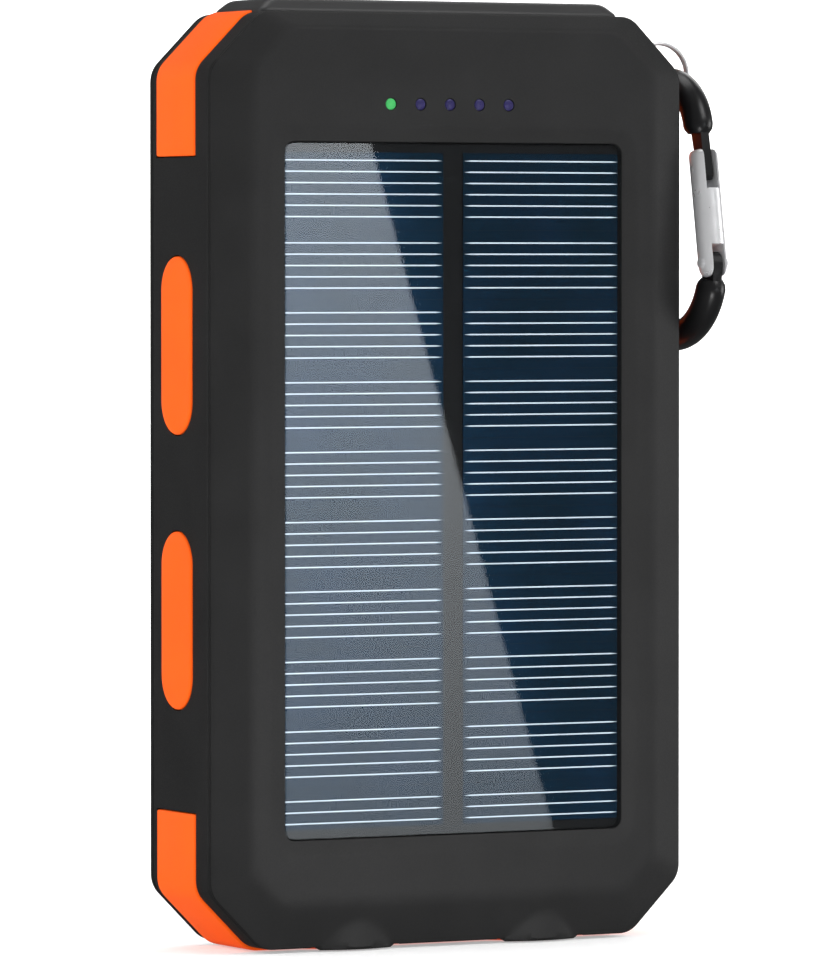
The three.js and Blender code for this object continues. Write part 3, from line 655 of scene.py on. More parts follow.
class CoverEdge:
    """Bevelled rim of a cover, from its parting line to its flat face, swollen at each flashlight.

    Profiles are (inset, depth): how far in from the case's outline, and how far past the parting line."""

    def __init__(self, parting, face, side, bottom, top, bulge_radius):
        self.parting = parting
        self.outward = 1 if face > parting else -1
        self.depth = abs(face - parting)
        self.side, self.bottom, self.top = side, bottom, top
        self.bulge_radius = bulge_radius
        corners = [(0.42, 0), (0, 0.34), (0, 0.6), (side, self.depth), (side + 1.2, self.depth)]
        bends = rounded_profile(corners, [0.2, 0.25, 1.15], steps=BEND_STEPS)
        rim, face_bend = 2 * BEND_STEPS + 1, BEND_STEPS + 1
        slope = sample_polyline(bends[rim:-face_bend], [i / SLOPE_STEPS for i in range(SLOPE_STEPS + 1)])
        self.profile = bends[:rim] + slope + bends[-face_bend:]
        total = polyline_length(self.profile)
        self.shares = [polyline_length(self.profile[: i + 1]) / total for i in range(len(self.profile))]
        self.bottom_profile = [Vector((p.x * bottom / side, p.y)) for p in self.profile]

    def bulge_depth(self, x):
        near = min(abs(x - LIGHT_X), abs(x + LIGHT_X))
        if near >= self.bulge_radius:
            return 0.0
        reach = LIGHT_Y * self.outward + math.sqrt(self.bulge_radius ** 2 - near ** 2)
        raw = reach - abs(self.parting)
        return 0.5 * (raw + math.sqrt(raw * raw + BULGE_SOFTNESS))

    def column(self, x):
        """The bottom profile at one place along the bottom edge."""
        depth = self.bulge_depth(x)
        if depth < 0.02:
            return sample_polyline(self.bottom_profile, self.shares)
        share = min(depth / 0.6, 1)
        drop = BULGE_DROP * share ** 2 * (3 - 2 * share)
        above = [p for p in self.bottom_profile if p.y > depth and p.x > 0.05]
        first = above[0]
        before = self.bottom_profile[self.bottom_profile.index(first) - 1]
        climbed = (depth - before.y) / (first.y - before.y)
        meeting = before.lerp(first, min(max(climbed, 0), 1))
        fillet = min(0.55, depth * 0.4)
        soft = min(0.45, (meeting.x + drop) * 0.2)
        corners = [(-drop + 0.15, 0), (-drop, 0.15), (-drop, depth), tuple(meeting)]
        foot = rounded_profile(corners, [0.05, fillet])
        landing = meeting - Vector((soft, 0))
        path = foot[:-1] + [landing, (meeting + landing) / 2]
        path += [p for p in above if (p - meeting).length > soft * 0.4]
        return sample_polyline(path, self.shares)

    def rings(self):
        result = []
        for k, point in enumerate(self.profile):
            scale = point.x / self.side
            steps = {0: BOTTOM_STEPS}
            outline = case_outline(point.x, scale * self.bottom, scale * self.top, edge_steps=steps)
            ring = []
            for i, p in enumerate(outline):
                if ARC_STEPS <= i <= ARC_STEPS + BOTTOM_STEPS:
                    place = self.column(p.x)[k]
                    ring.append((p.x, self.parting + self.outward * place.y, CASE_FLOOR + place.x))
                else:
                    ring.append((p.x, self.parting + self.outward * point.y, p.y))
            result.append(ring)
        return result


def panel_outline(grow_side, grow_bottom, grow_top, radius):
    return soft_rectangle(
        glass_low.x - grow_side,
        glass_high.x + grow_side,
        glass_low.z - grow_bottom,
        glass_high.z + grow_top,
        radius,
        edge_steps={0: BOTTOM_STEPS},
    )


def light_positions():
    return [node_centre(f"status_led_{i}") for i in range(1, 6)]


def build_front_cover():
    edge = CoverEdge(PARTING_FRONT, FRONT_FACE, side=5.9, bottom=6.8, top=2.4, bulge_radius=12.0)
    rings = edge.rings()
    gap = 0.12
    slope_width = 2.55
    slope = rounded_profile(
        [(3.4, FRONT_FACE), (2.65, FRONT_FACE), (gap, FRONT_FACE + 0.5), (gap, -10.4)],
        [0.55, 0.2],
        steps=5,
    )
    for grow, y in slope:
        beyond = grow - gap
        radius = 1.6 + 2.6 * max(beyond, 0) / slope_width
        outline = panel_outline(grow, gap + beyond * 0.93, gap + beyond * 0.9, radius)
        rings.append([(p.x, y, p.y) for p in outline])
    cover = skin("front_shell", rings)
    lights = light_positions()
    beside, above = 3.1, 2.6
    tools = [block(
        "light_seat",
        (lights[0].x - beside, -10.95, lights[0].z - above),
        (lights[-1].x + beside, PARTING_FRONT + 1, lights[0].z + above),
    )]
    hole, rim = 0.9, 1.05
    inner, outer = -9, -14
    profile = [
        (0, inner),
        (hole, inner),
        (hole, FRONT_FACE + 0.08),
        (rim, FRONT_FACE - 0.06),
        (rim, outer),
        (0, outer),
    ]
    for i, light in enumerate(lights):
        tools.append(turned(f"light_hole_{i}", profile, (light.x, light.z), along_y, sides=32))
    cut(cover, *tools)
    finish(cover, case_black, "case", ["front_cover"], sharp=30)


def build_rear_cover():
    edge = CoverEdge(PARTING_REAR, REAR_FACE, side=5.3, bottom=6.1, top=2.4, bulge_radius=11.8)
    cover = skin("rear_shell", edge.rings())
    centre = node_centre("compass_bezel")
    opening, seat, mouth = 9.15, 10.35, 10.8
    recess = [(0, 5), (opening, 5), (opening, 11.4), (seat, 11.4), (seat, 12.1), (10.5, 12.3)]
    recess += [(mouth, REAR_FACE + 0.02), (mouth, 14), (0, 14)]
    tools = [turned("compass_recess", recess, (centre.x, centre.z), along_y, sides=96)]
    half_width = 37
    for offset in (0, 1.9):
        points = []
        for i in range(61):
            x = half_width * (2 * i / 60 - 1)
            sag = (x / 34.5) ** 2 * (36 + offset * 0.6)
            points.append((x, REAR_FACE + 0.12, 99.5 - offset + sag))
        tools.append(tube(f"groove_{offset}", points, 0.34, sides=10, up=Vector((0, 1, 0))))
    cut(cover, *tools)
    finish(cover, case_black, "case", ["rear_cover"], sharp=30)


# ---- Side band with its pockets ----

TRIM_DEPTH = 1.2
TRIM_PROUD = 0.2
TRIM_SLACK = 0.18
TRIM_ROUND = 0.4
TRIM_BACK = corner_high.y
TRIM_FRONT = corner_low.y
TRIM_LEG_BOTTOM = corner_low.z
TRIM_INNER_END = -corner_high.x
TRIM_LEG_TOP = node_box("flashlight_trim")[1].z
DISC_RADIUS = 8.7
LENS_RADIUS = 6.2
PORT_FLOOR = 139


def pocket_tools():
    """Solids that cut the grips, trims, button, port cover and lanyard out of the side band."""
    tools = []
    for side, name in ((-1, "left"), (1, "right")):
        for level in ("upper", "lower"):
            outline = node_pill(f"side_grip_{name}_{level}", 0.36, 28)
            ends = [(side * (HALF_WIDTH - 1.25), outline), (side * (HALF_WIDTH + 1), outline)]
            tools.append(loft("pocket", ends, along_x))
    outline = pill(node_centre("power_button"), 5.0, 9.4, 28)
    tools.append(loft("button_hole", [(34, outline), (42, outline)], along_x))
    gap = 0.2
    low, high = node_box("port_cover")
    outline = rounded(box_corners(low.x - gap, high.x + gap, low.y - gap, high.y + gap), 1.0)
    tools.append(loft("cover_recess", [(PORT_FLOOR, outline), (CASE_TOP, outline)], along_z))
    strap_low, strap_high = node_box("port_cover_tether")
    tools.append(block(
        "strap_notch",
        (strap_low.x - 0.1, high.y - 1, strap_low.z - 0.1),
        (strap_high.x + 0.1, strap_high.y + 0.1, CASE_TOP),
    ))
    for node in ("usb_shell_left", "usb_shell_right", "micro_usb_shell"):
        low, high = node_box(node)
        port = (low.x - 0.1, low.y - 0.1, 130), (high.x + 0.1, high.y + 0.1, CASE_TOP)
        tools.append(block("port_hole", *port))
    for which in ("left", "right", "bottom"):
        tools.append(trim_strip("trim_pocket", which, TRIM_DEPTH + 0.05, 3.0, slack=TRIM_SLACK))
    disc, bore, step = DISC_RADIUS + 0.1, 6.9, 1.75
    profile = [(0, -1), (disc, -1), (disc, step), (bore, step), (bore, 5), (0, 5)]
    for side in (-1, 1):
        tools.append(turned("disc_pocket", profile, (side * LIGHT_X, LIGHT_Y), along_z, sides=64))
    return tools + [ring_slot(), pin_hole()]


def build_mid_frame():
    edge = 0.45
    front, back = PARTING_FRONT + 0.02, PARTING_REAR - 0.02
    profile = rounded_profile(
        [(edge, front), (0, PARTING_FRONT + edge), (0, PARTING_REAR - edge), (edge, back)],
        [0.25, 0.25],
        steps=3,
    )
    sections = [(y, case_outline(inset)) for inset, y in profile]
    sections += [(y, case_outline(3.5, 2.7, 3.2)) for y in (back, front)]
    frame_band = loft("side_band", sections, along_y, closed=True)
    join(frame_band, block("lanyard_block", (34, -4.6, 126), (37.4, 4.6, 136.4)))
    cut(frame_band, *pocket_tools())
    finish(frame_band, case_black, "case", ["mid_frame"], sharp=30)


def ring_slot():
    """Space that the lanyard ring sweeps as it swings about its pin, as one flat fan."""
    low, high = node_box("lanyard_ring")
    pin = node_centre("lanyard_pin")
    centre = node_centre("lanyard_ring")
    radius = (high.z - low.z) / 2 + 0.35
    swing = math.radians(RING_SWING)
    reach = centre.x - pin.x
    swung_x = pin.x + reach * math.cos(swing)
    swung_z = pin.z + reach * math.sin(swing)
    turn = 180 + RING_SWING / 2
    points = arc(centre.x, centre.z, radius, turn, 270, 24)
    points.append((centre.x + radius, centre.z - radius))
    points.append((centre.x + radius + 6, centre.z + 20))
    points.append((swung_x, swung_z + radius + 3))
    points += arc(swung_x, swung_z, radius, 110, turn, 24)
    return loft("ring_slot", [(-0.95, points), (0.95, points)], along_y)


def pin_hole():
    low, high = node_box("lanyard_pin")
    centre = node_centre("lanyard_pin")
    slack = 0.1
    radius = (high.z - low.z) / 2 + slack
    front, back = low.y - slack, high.y + slack
    profile = [(0, front), (radius, front), (radius, back), (0, back)]
    return turned("pin_hole", profile, (centre.x, centre.z), along_y, sides=32)


# ---- Orange trims and grips ----

def strip_path(which, inset, slack):
    """Course of a trim around the case at one depth below its skin, the bottom set 0.3 mm further out."""
    bottom = 1.2 - (1.2 - inset) * 1.7 / 1.4 if inset < 1.2 else inset
    outline = case_outline(inset, bottom if which == "bottom" else inset)
    per_corner = ARC_STEPS + 1
    half = HALF_WIDTH - inset

    def corner(i):
        return outline[i * per_corner:(i + 1) * per_corner]

    if which == "left":
        middle = corner(5) + corner(6)
        return [(-TRIM_INNER_END + slack, CASE_TOP - inset)] + middle + [(-half, TRIM_LEG_BOTTOM - slack)]
    if which == "right":
        middle = corner(3) + corner(4)
        return [(half, TRIM_LEG_BOTTOM - slack)] + middle + [(TRIM_INNER_END - slack, CASE_TOP - inset)]
    low = CASE_FLOOR + bottom
    start = corner(7) + corner(0)
    end = corner(1) + corner(2)
    left_end, right_end = start[-1][0], end[0][0]
    steps = 140
    run = [(left_end + (right_end - left_end) * i / steps, low) for i in range(1, steps)]
    return [(-half, TRIM_LEG_TOP + slack)] + start + run + end + [(half, TRIM_LEG_TOP + slack)]


def disc_reach(x, edge, radius):
    """How far a trim reaches from the flashlight axis at one x, on the side that has the given edge."""
    near = min(abs(x - LIGHT_X), abs(x + LIGHT_X))
    swell = math.sqrt(max(radius ** 2 - near ** 2, 0))
    soft = 0.5
    total = edge + swell
    gap = edge - swell
    return 0.5 * (total + math.sqrt(gap * gap + soft * soft)) if swell > 0 else edge


def trim_strip(name, which, depth, over, slack=0.0, round_by=0.0):
    """Band that follows the case's outline. round_by softens its outer edges and its two ends."""
    front = TRIM_FRONT - slack
    back = TRIM_BACK + slack
    steps = 5

    def loop(shrink):
        if not round_by:
            return [(depth, front), (-over, front), (-over, back), (depth, back)]
        points = [(depth, front + shrink)]
        for i in range(steps + 1):
            angle = math.pi / 2 * i / steps
            points.append((
                -over + shrink + round_by * (1 - math.sin(angle)),
                front + shrink + round_by * (1 - math.cos(angle)),
            ))
        for i in range(steps + 1):
            angle = math.pi / 2 * (1 - i / steps)
            points.append((
                -over + shrink + round_by * (1 - math.sin(angle)),
                back - shrink - round_by * (1 - math.cos(angle)),
            ))
        points.append((depth, back - shrink))
        return points

    def ring(index, shrink, pull):
        points = []
        for inset, y in loop(shrink):
            path = strip_path(which, inset, slack)
            x, z = path[index]
            if pull and index in (0, len(path) - 1):
                inner = path[1] if index == 0 else path[-2]
                step = (Vector(inner) - Vector((x, z))).normalized() * pull
                x, z = x + step.x, z + step.y
            if which == "bottom" and slack == 0 and z < CASE_FLOOR + 1.3:
                middle = (front + back) / 2
                edge = (back - LIGHT_Y) if y > middle else (LIGHT_Y - front)
                grown = disc_reach(x, edge, DISC_RADIUS) - edge
                y += grown if y > middle else -grown
            points.append((x, y, z))
        return points

    last = len(strip_path(which, 0, slack)) - 1
    rings = []
    ends = [(0.28, 0.0), (0.12, 0.06), (0.03, 0.16), (0.0, 0.32)] if round_by else []
    for shrink, pull in ends:
        rings.append(ring(0, shrink, pull))
    first = [] if ends else [0]
    final = [] if ends else [last]
    for index in first + list(range(1, last)) + final:
        rings.append(ring(index, 0, 0))
    for shrink, pull in reversed(ends):
        rings.append(ring(last, shrink, pull))
    return skin(name, rings)


def build_trims():
    left = trim_strip("corner_trim_left_skin", "left", TRIM_DEPTH, TRIM_PROUD, round_by=TRIM_ROUND)
    finish(left, orange_rubber, "case", ["corner_trim_left"], sharp=32)
    right = trim_strip("corner_trim_right_skin", "right", TRIM_DEPTH, TRIM_PROUD, round_by=TRIM_ROUND)
    cut(right, ring_slot(), pin_hole())
    finish(right, orange_rubber, "case", ["corner_trim_right"], sharp=32)
    bottom = trim_strip("flashlight_trim_skin", "bottom", TRIM_DEPTH, TRIM_PROUD, round_by=TRIM_ROUND)
    rim = LENS_RADIUS + 0.1
    profile = [(0, -1), (rim + 0.6, -1), (rim + 0.6, -0.01), (rim + 0.2, 0.12)]
    profile += [(rim, 0.4), (rim, 3), (0, 3)]
    holes = [turned("lens_hole", profile, (side * LIGHT_X, LIGHT_Y), along_z, sides=72) for side in (-1, 1)]
    cut(bottom, *holes)
    finish(bottom, orange_rubber, "case", ["flashlight_trim"], sharp=32)


def build_grips():
    """Pills with a domed face, drawn as steps of how far out of the case and how far in from the rim."""
    dome = [(-1.2, 0), (-0.1, 0), (0.04, 0.02), (0.16, 0.1)]
    dome += [(0.25, 0.26), (0.31, 0.5), (0.34, 0.9), (0.35, 1.5)]
    for name, side in (("left", -1), ("right", 1)):
        for level in ("upper", "lower"):
            node = f"side_grip_{name}_{level}"
            sections = []
            for out, inset in dome:
                sections.append((side * (HALF_WIDTH + out), node_pill(node, -2 * inset, 24)))
            grip = loft(f"grip_{name}_{level}", sections, along_x)
            finish(grip, orange_rubber, "case", [node], sharp=45)


# ---- Solar panel ----

ROW_PITCH = 10.38
FIRST_ROW_FOOT = 107.5
ROW_GAP = 0.06
LINE_PITCH = 1.68
FIRST_LINE = 117.9
SECOND_ROW_LINE = 105.6


def grid_line_heights():
    """Heights of the silver lines: six in the first row of cells, three in the cut last one, else five."""
    heights = [FIRST_LINE - LINE_PITCH * i for i in range(6)]
    for row in range(9):
        first = SECOND_ROW_LINE - ROW_PITCH * row
        count = 5 if row < 8 else 3
        heights += [first - LINE_PITCH * i for i in range(count)]
    return heights


def grid_line(left, right, z, y_face, taper_left):
    """Vertices and faces of one printed line, pointed on the right, and on the left if asked."""
    half = 0.105
    lift = 0.03
    taper = 1.1
    tip = 0.02
    spans = [(left, tip), (left + taper, 1)] if taper_left else [(left, 1)]
    spans += [(right - taper, 1), (right, tip)]
    vertices = []
    faces = []
    for x, share in spans:
        foot = half * share
        crest = foot * 0.6
        vertices += [(x, y_face, z - foot), (x, y_face - lift, z - crest)]
        vertices += [(x, y_face - lift, z + crest), (x, y_face, z + foot)]
    for k in range(len(spans) - 1):
        a = 4 * k
        for i in range(4):
            j = (i + 1) % 4
            faces.append((a + i, a + j, a + 4 + j, a + 4 + i))
    faces.append((0, 1, 2, 3))
    last = 4 * (len(spans) - 1)
    faces.append((last, last + 1, last + 2, last + 3))
    return vertices, faces


def panel_sheet(name, node, corner, ease):
    """Flat sheet in the shape of a CAD sheet, its long edges eased."""
    low, high = node_box(node)
    sections = []
    for y, inset in ((high.y, ease), (high.y - ease, 0), (low.y + ease, 0), (low.y, ease)):
        corners = box_corners(low.x + inset, high.x - inset, low.z + inset, high.z - inset)
        sections.append((y, rounded(corners, corner)))
    return loft(name, sections, along_y)


def cell_rows(name, low, high):
    """One column of cells, each row a thin plate with rounded corners."""
    rows = [high.z] + [FIRST_ROW_FOOT - ROW_PITCH * i for i in range(9)] + [low.z]
    vertices = []
    faces = []
    for top, foot in zip(rows, rows[1:]):
        corners = box_corners(low.x, high.x, foot + ROW_GAP / 2, top - ROW_GAP / 2)
        outline = rounded(corners, 0.25, steps=4)
        base = len(vertices)
        count = len(outline)
        vertices += [(p.x, high.y, p.y) for p in outline]
        vertices += [(p.x, low.y + 0.02, p.y) for p in outline]
        for i in range(count):
            j = (i + 1) % count
            faces.append((base + i, base + j, base + count + j, base + count + i))
        faces.append(tuple(base + i for i in range(count)))
        faces.append(tuple(base + count + i for i in range(count)))
    return mesh_object(name, vertices, faces)


def grid_lines(name, left, right, face, taper_left):
    """All silver lines of one column of cells."""
    vertices = []
    faces = []
    for z in grid_line_heights():
        part, sides = grid_line(left, right, z, face, taper_left)
        base = len(vertices)
        vertices += part
        faces += [tuple(base + i for i in side) for side in sides]
    return mesh_object(name, vertices, faces)


def build_solar_panel():
    glass = panel_sheet("panel_cover_sheet", "solar_panel_glass", 1.5, 0.08)
    finish(glass, panel_glass, "case", ["solar_panel_glass"], sharp=30)
    board = panel_sheet("panel_backing", "solar_panel_board", 1.4, 0.05)
    finish(board, backing_black, "case", ["solar_panel_board"], sharp=30)
    margin = 0.2
    for side in ("left", "right"):
        low, high = node_box(f"solar_cells_{side}")
        cells = cell_rows(f"cell_rows_{side}", low, high)
        finish(cells, solar_cell, "case", [f"solar_cells_{side}"])
        left = low.x + (0 if side == "left" else margin)
        right = high.x - (margin if side == "left" else 0)
        lines = grid_lines(f"grid_lines_{side}", left, right, low.y + 0.015, side == "right")
        finish(lines, grid_silver, "case")


# ---- Charge indicator ----

def build_light_windows():
    radius, back, rim, dome = 0.84, -10.6, -12.52, 0.14
    profile = [(0, back), (radius, back), (radius, rim)]
    for k in range(1, 7):
        angle = math.pi / 2 * k / 6
        profile.append((radius * math.cos(angle), rim - dome * math.sin(angle)))
    for i, light in enumerate(light_positions()):
        window = turned(f"light_window_{i + 1}", profile, (light.x, light.z), along_y, sides=32)
        material = green_light if i == 0 else violet_light
        finish(window, material, "case", sharp=50)


# ---- Port cover, its strap and the power button ----

def port_plug(node, half_x, half_y):
    """Plug that fits one port, a little narrower at its tip."""
    centre = node_centre(node)
    corners = box_corners(centre.x - half_x, centre.x + half_x, centre.y - half_y, centre.y + half_y)
    tip = [tuple(Vector(c).lerp(centre.to_2d(), 0.06)) for c in corners]
    sections = [(137.9, rounded(tip, 0.5)), (138.2, rounded(corners, 0.5)), (139.5, rounded(corners, 0.5))]
    return loft("plug", sections, along_z)


def build_port_cover():
    low, high = node_box("port_cover")

    def plan(inset):
        aside = inset * 1.6
        corners = box_corners(low.x + aside, high.x - aside, low.y + inset, high.y - inset)
        return rounded(corners, 1.5, steps=7)

    profile = rounded_profile(
        [(0.25, 139.05), (0, 139.3), (0, 140.35), (1.15, high.z - 0.02), (2.6, high.z)],
        [0.12, 0.35, 0.7],
        steps=5,
    )
    pad = loft("port_cover_skin", [(z, plan(inset)) for inset, z in profile], along_z)
    plugs = [("usb_shell_left", 5.6, 1.8), ("usb_shell_right", 5.6, 1.8), ("micro_usb_shell", 3.1, 0.8)]
    for node, half_x, half_y in plugs:
        join(pad, port_plug(node, half_x, half_y))
    finish(pad, soft_black, "port_cover", ["port_cover"], sharp=32)


def build_strap():
    """Rubber strap from the case to the cover."""
    low, high = node_box("port_cover_tether")
    cover_back = node_box("port_cover")[1].y
    half = 0.4
    path = [
        (high.y - 0.5, low.z + 0.05),
        (high.y - 0.5, low.z + 0.35),
        (high.y - 0.52, low.z + 0.6),
        (high.y - 0.58, low.z + 0.8),
        (high.y - 0.7, low.z + 0.95),
        (cover_back + 0.35, low.z + 1.06),
        (cover_back + 0.1, low.z + 1.1),
        (cover_back - 0.3, low.z + 1.12),
    ]
    path = [Vector(p) for p in path]
    rings = []
    for i, point in enumerate(path):
        before = path[max(i - 1, 0)]
        after = path[min(i + 1, len(path) - 1)]
        along = (after - before).normalized()
        side = Vector((-along.y, along.x)) * half
        outer = point + side
        inner = point - side
        rings.append([
            (low.x, inner.x, inner.y),
            (high.x, inner.x, inner.y),
            (high.x, outer.x, outer.y),
            (low.x, outer.x, outer.y),
        ])
    strap = skin("port_cover_strap", rings)
    round_edges(strap, 0.12, 2)
    strap.data.materials.append(soft_black)
    smooth(strap, 40)
    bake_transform(strap)
    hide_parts("port_cover_tether")


def build_power_button():
    centre = node_centre("power_button")
    width, length = 4.6, 9.0
    steps = [(35.7, -1.0), (36.4, -1.0), (36.4, 0), (39.7, 0), (39.9, 0.05)]
    steps += [(40.1, 0.2), (40.22, 0.45), (40.28, 0.9), (40.3, 1.4)]
    sections = [(x, pill(centre, width - 2 * inset, length - 2 * inset, 24)) for x, inset in steps]
    button = loft("power_button_cap", sections, along_x)
    mark = pill(centre, 2.3, 6.7, 24)
    cut(button, loft("button_ring", [(40.05, mark), (41, mark)], along_x))
    finish(button, soft_black, "power_button", ["power_button"], sharp=38)


# ---- Lanyard ring and carabiner ----

CARABINER_X = 43.4
CARABINER_TURN = math.radians(4)
PIVOT = Vector((12.75, 102.6))
TIP = Vector((10.1, 119.4))
GATE_RADIUS = 2.2
ROD_RADIUS = 2.3
FRONTWARD = Vector((math.sin(CARABINER_TURN), -math.cos(CARABINER_TURN), 0))
ACROSS = Vector((-math.cos(CARABINER_TURN), -math.sin(CARABINER_TURN), 0))


def carabiner_point(u, w, t=0):
    """Point in the carabiner's own plane, u frontward and w up, set t across it."""
    return tuple(Vector((CARABINER_X, 0, 0)) + FRONTWARD * u + Vector((0, 0, w)) + ACROSS * t)


def carabiner_plate(name, outline, half):
    return loft(name, [(-half, outline), (half, outline)], carabiner_point)


def build_carabiner_body():
    head_u, head_w, head_radius = 0.8, 122.1, 8.15
    foot_u, foot_w, foot_radius = 2.2, 102, 10.6
    spine_top, spine_foot = head_u - head_radius, foot_u - foot_radius
    path = arc(head_u, head_w, head_radius, 2, 180, 40)
    for i in range(1, 10):
        share = i / 10
        path.append((spine_top + (spine_foot - spine_top) * share, head_w + (foot_w - head_w) * share))
    path += arc(foot_u, foot_w, foot_radius, 180, 350, 44)
    radii = [ROD_RADIUS] * len(path)
    for i, share in ((0, 0.72), (1, 0.93), (-2, 0.93), (-1, 0.72)):
        radii[i] = ROD_RADIUS * share
    body = tube("carabiner_rod", [carabiner_point(*p) for p in path], radii, sides=36, up=ACROSS)
    nose = [(8.2, 125.5), (10.2, 124.6), (11.9, 116.0), (11.5, 115.2)]
    nose += [(10.3, 115.4), (9.6, 116.4), (8.0, 122.5)]
    join(body, carabiner_plate("nose", rounded(nose, 0.35, steps=4), 0.75))
    tang = [(11.2, 97.5), (13.9, 97.5), (14.35, 102.6), (13.9, 103.9)]
    tang += [(12.9, 104.4), (11.6, 103.9), (11.0, 102.6)]
    join(body, carabiner_plate("tang", rounded(tang, 0.4, steps=4), 0.8))
    finish(body, anodised_black, "carabiner", ["carabiner_body"], sharp=40)


def build_gate():
    lean = (TIP - PIVOT).normalized()
    aside = Vector((lean.y, -lean.x))
    length = (TIP - PIVOT).length

    def on_gate(along, out=0.0):
        return tuple(PIVOT + lean * along + aside * out)

    stations = [(-2.2, 0.9), (-2.05, 1.45), (-1.7, 1.85), (-1.1, 2.1), (-0.3, GATE_RADIUS)]
    stations += [(length * 0.5, GATE_RADIUS), (length - 0.6, GATE_RADIUS)]
    stations += [(length - 0.1, 2.12), (length + 0.25, 1.9), (length + 0.45, 1.5)]
    points = [carabiner_point(*on_gate(along)) for along, _ in stations]
    gate = tube("carabiner_gate_tube", points, [r for _, r in stations], sides=40, up=ACROSS)
    foot = [on_gate(*p) for p in box_corners(-4, 2.7, -4, 4)]
    head = [on_gate(*p) for p in box_corners(length - 5.7, length + 3, -1.9, 5)]
    cut(gate, carabiner_plate("foot_slot", foot, 1.1), carabiner_plate("head_slot", head, 1.1))
    finish(gate, bright_aluminium, "carabiner_gate", ["carabiner_gate"], sharp=38)


def build_rivet():
    head = [(2.0, 0.6), (2.1, 1.0), (2.28, 0.85), (2.4, 0.55), (2.42, 0.2)]
    stations = [(-t, radius) for t, radius in reversed(head)] + head
    points = [carabiner_point(PIVOT.x, PIVOT.y, t) for t, _ in stations]
    rivet = tube("gate_rivet_pin", points, [r for _, r in stations], sides=24, up=Vector((0, 0, 1)))
    finish(rivet, bright_aluminium, "carabiner", ["gate_rivet"], sharp=38)


def build_split_ring():
    """Two turns of wire side by side, which change places over a short step."""
    low, high = node_box("lanyard_ring")
    centre = node_centre("lanyard_ring")
    envelope = (high.y - low.y) / 2
    radius = (high.z - low.z) / 2 - envelope
    wire = envelope * 0.49
    offset = envelope - wire
    step = 16
    start = 150
    steps = 200
    points = []
    for i in range(steps + 1):
        degrees = step + (720 - 2 * step) * i / steps
        share = min(max((degrees - 360 + step) / (2 * step), 0), 1)
        y = centre.y + offset * (2 * share * share * (3 - 2 * share) - 1)
        angle = math.radians(degrees + start)
        points.append((centre.x + radius * math.cos(angle), y, centre.z + radius * math.sin(angle)))
    ring = tube("key_ring", points, wire, sides=18, up=Vector((0, 1, 0)))
    finish(ring, plated_steel, "lanyard_ring", ["lanyard_ring"], sharp=60)


# ---- Compass ----

COMPASS = node_centre("compass_card")
CARD_FACE = 9.65
MARK_SEAT = CARD_FACE + 0.02


def dial_text(text, height, radius, degrees):
    """Raised figure on the dial, its foot towards the centre."""
    data = bpy.data.curves.new("figure", "FONT")
    data.body = text
    data.size = height * MM
    data.align_x = "CENTER"
    data.align_y = "CENTER"
    data.extrude = 0.03 * MM
    data.resolution_u = 3
    obj = bpy.data.objects.new("figure", data)
    bpy.context.scene.collection.objects.link(obj)
    graph = bpy.context.evaluated_depsgraph_get()
    graph.update()
    mesh = bpy.data.meshes.new_from_object(obj.evaluated_get(graph))
    bpy.data.objects.remove(obj)
    bpy.data.curves.remove(data)
    # The dial faces +Y, so seen from behind the charger +X is on the left.
    turn = math.radians(degrees)
    upright = Matrix(((-1, 0, 0, 0), (0, 0, 1, 0), (0, 1, 0, 0), (0, 0, 0, 1)))
    mesh.transform(upright)
    mesh.transform(Matrix.Translation((0, 0, radius * MM)))
    mesh.transform(Matrix.Rotation(-turn, 4, "Y"))
    mesh.transform(Matrix.Translation(Vector((COMPASS.x, MARK_SEAT, COMPASS.z)) * MM))
    mesh.flip_normals()
    return mesh


def merge_meshes(name, meshes):
    shape = bmesh.new()
    for mesh in meshes:
        shape.from_mesh(mesh)
        bpy.data.meshes.remove(mesh)
    bmesh.ops.remove_doubles(shape, verts=shape.verts, dist=0.002 * MM)
    mesh = bpy.data.meshes.new(name)
    shape.to_mesh(mesh)
    shape.free()
    obj = bpy.data.objects.new(name, mesh)
    bpy.context.scene.collection.objects.link(obj)
    return obj


def dial_ticks():
    """Raised ticks every 5 degrees, longer at every 10 and wider at every 30."""
    outer = 7.15
    sides = ((0, 1, 2, 3), (7, 6, 5, 4), (0, 4, 5, 1), (1, 5, 6, 2), (2, 6, 7, 3), (3, 7, 4, 0))
    vertices = []
    faces = []
    for degrees in range(0, 360, 5):
        inner, half = 6.6, 0.055
        if degrees % 10 == 0:
            inner = 6.3
        if degrees % 30 == 0:
            inner, half = 5.9, 0.1
        angle = math.radians(degrees)
        along = Vector((-math.sin(angle), math.cos(angle)))
        aside = Vector((along.y, -along.x)) * half
        base = len(vertices)
        for y in (CARD_FACE - 0.02, CARD_FACE + 0.05):
            for reach, sign in ((inner, -1), (inner, 1), (outer, 1), (outer, -1)):
                p = along * reach + aside * sign
                vertices.append((COMPASS.x + p.x, y, COMPASS.z + p.y))
        faces += [tuple(base + i for i in side) for side in sides]
    return mesh_object("dial_ticks", vertices, faces)


def dial_needle(name, tip):
    corners = [(-0.85, 0), (0, tip), (0.85, 0)]
    low = [(COMPASS.x + x, MARK_SEAT, COMPASS.z + z) for x, z in corners]
    high = [(COMPASS.x + x * 0.9, MARK_SEAT + 0.1, COMPASS.z + z * 0.96) for x, z in corners]
    return skin(name, [low, high])


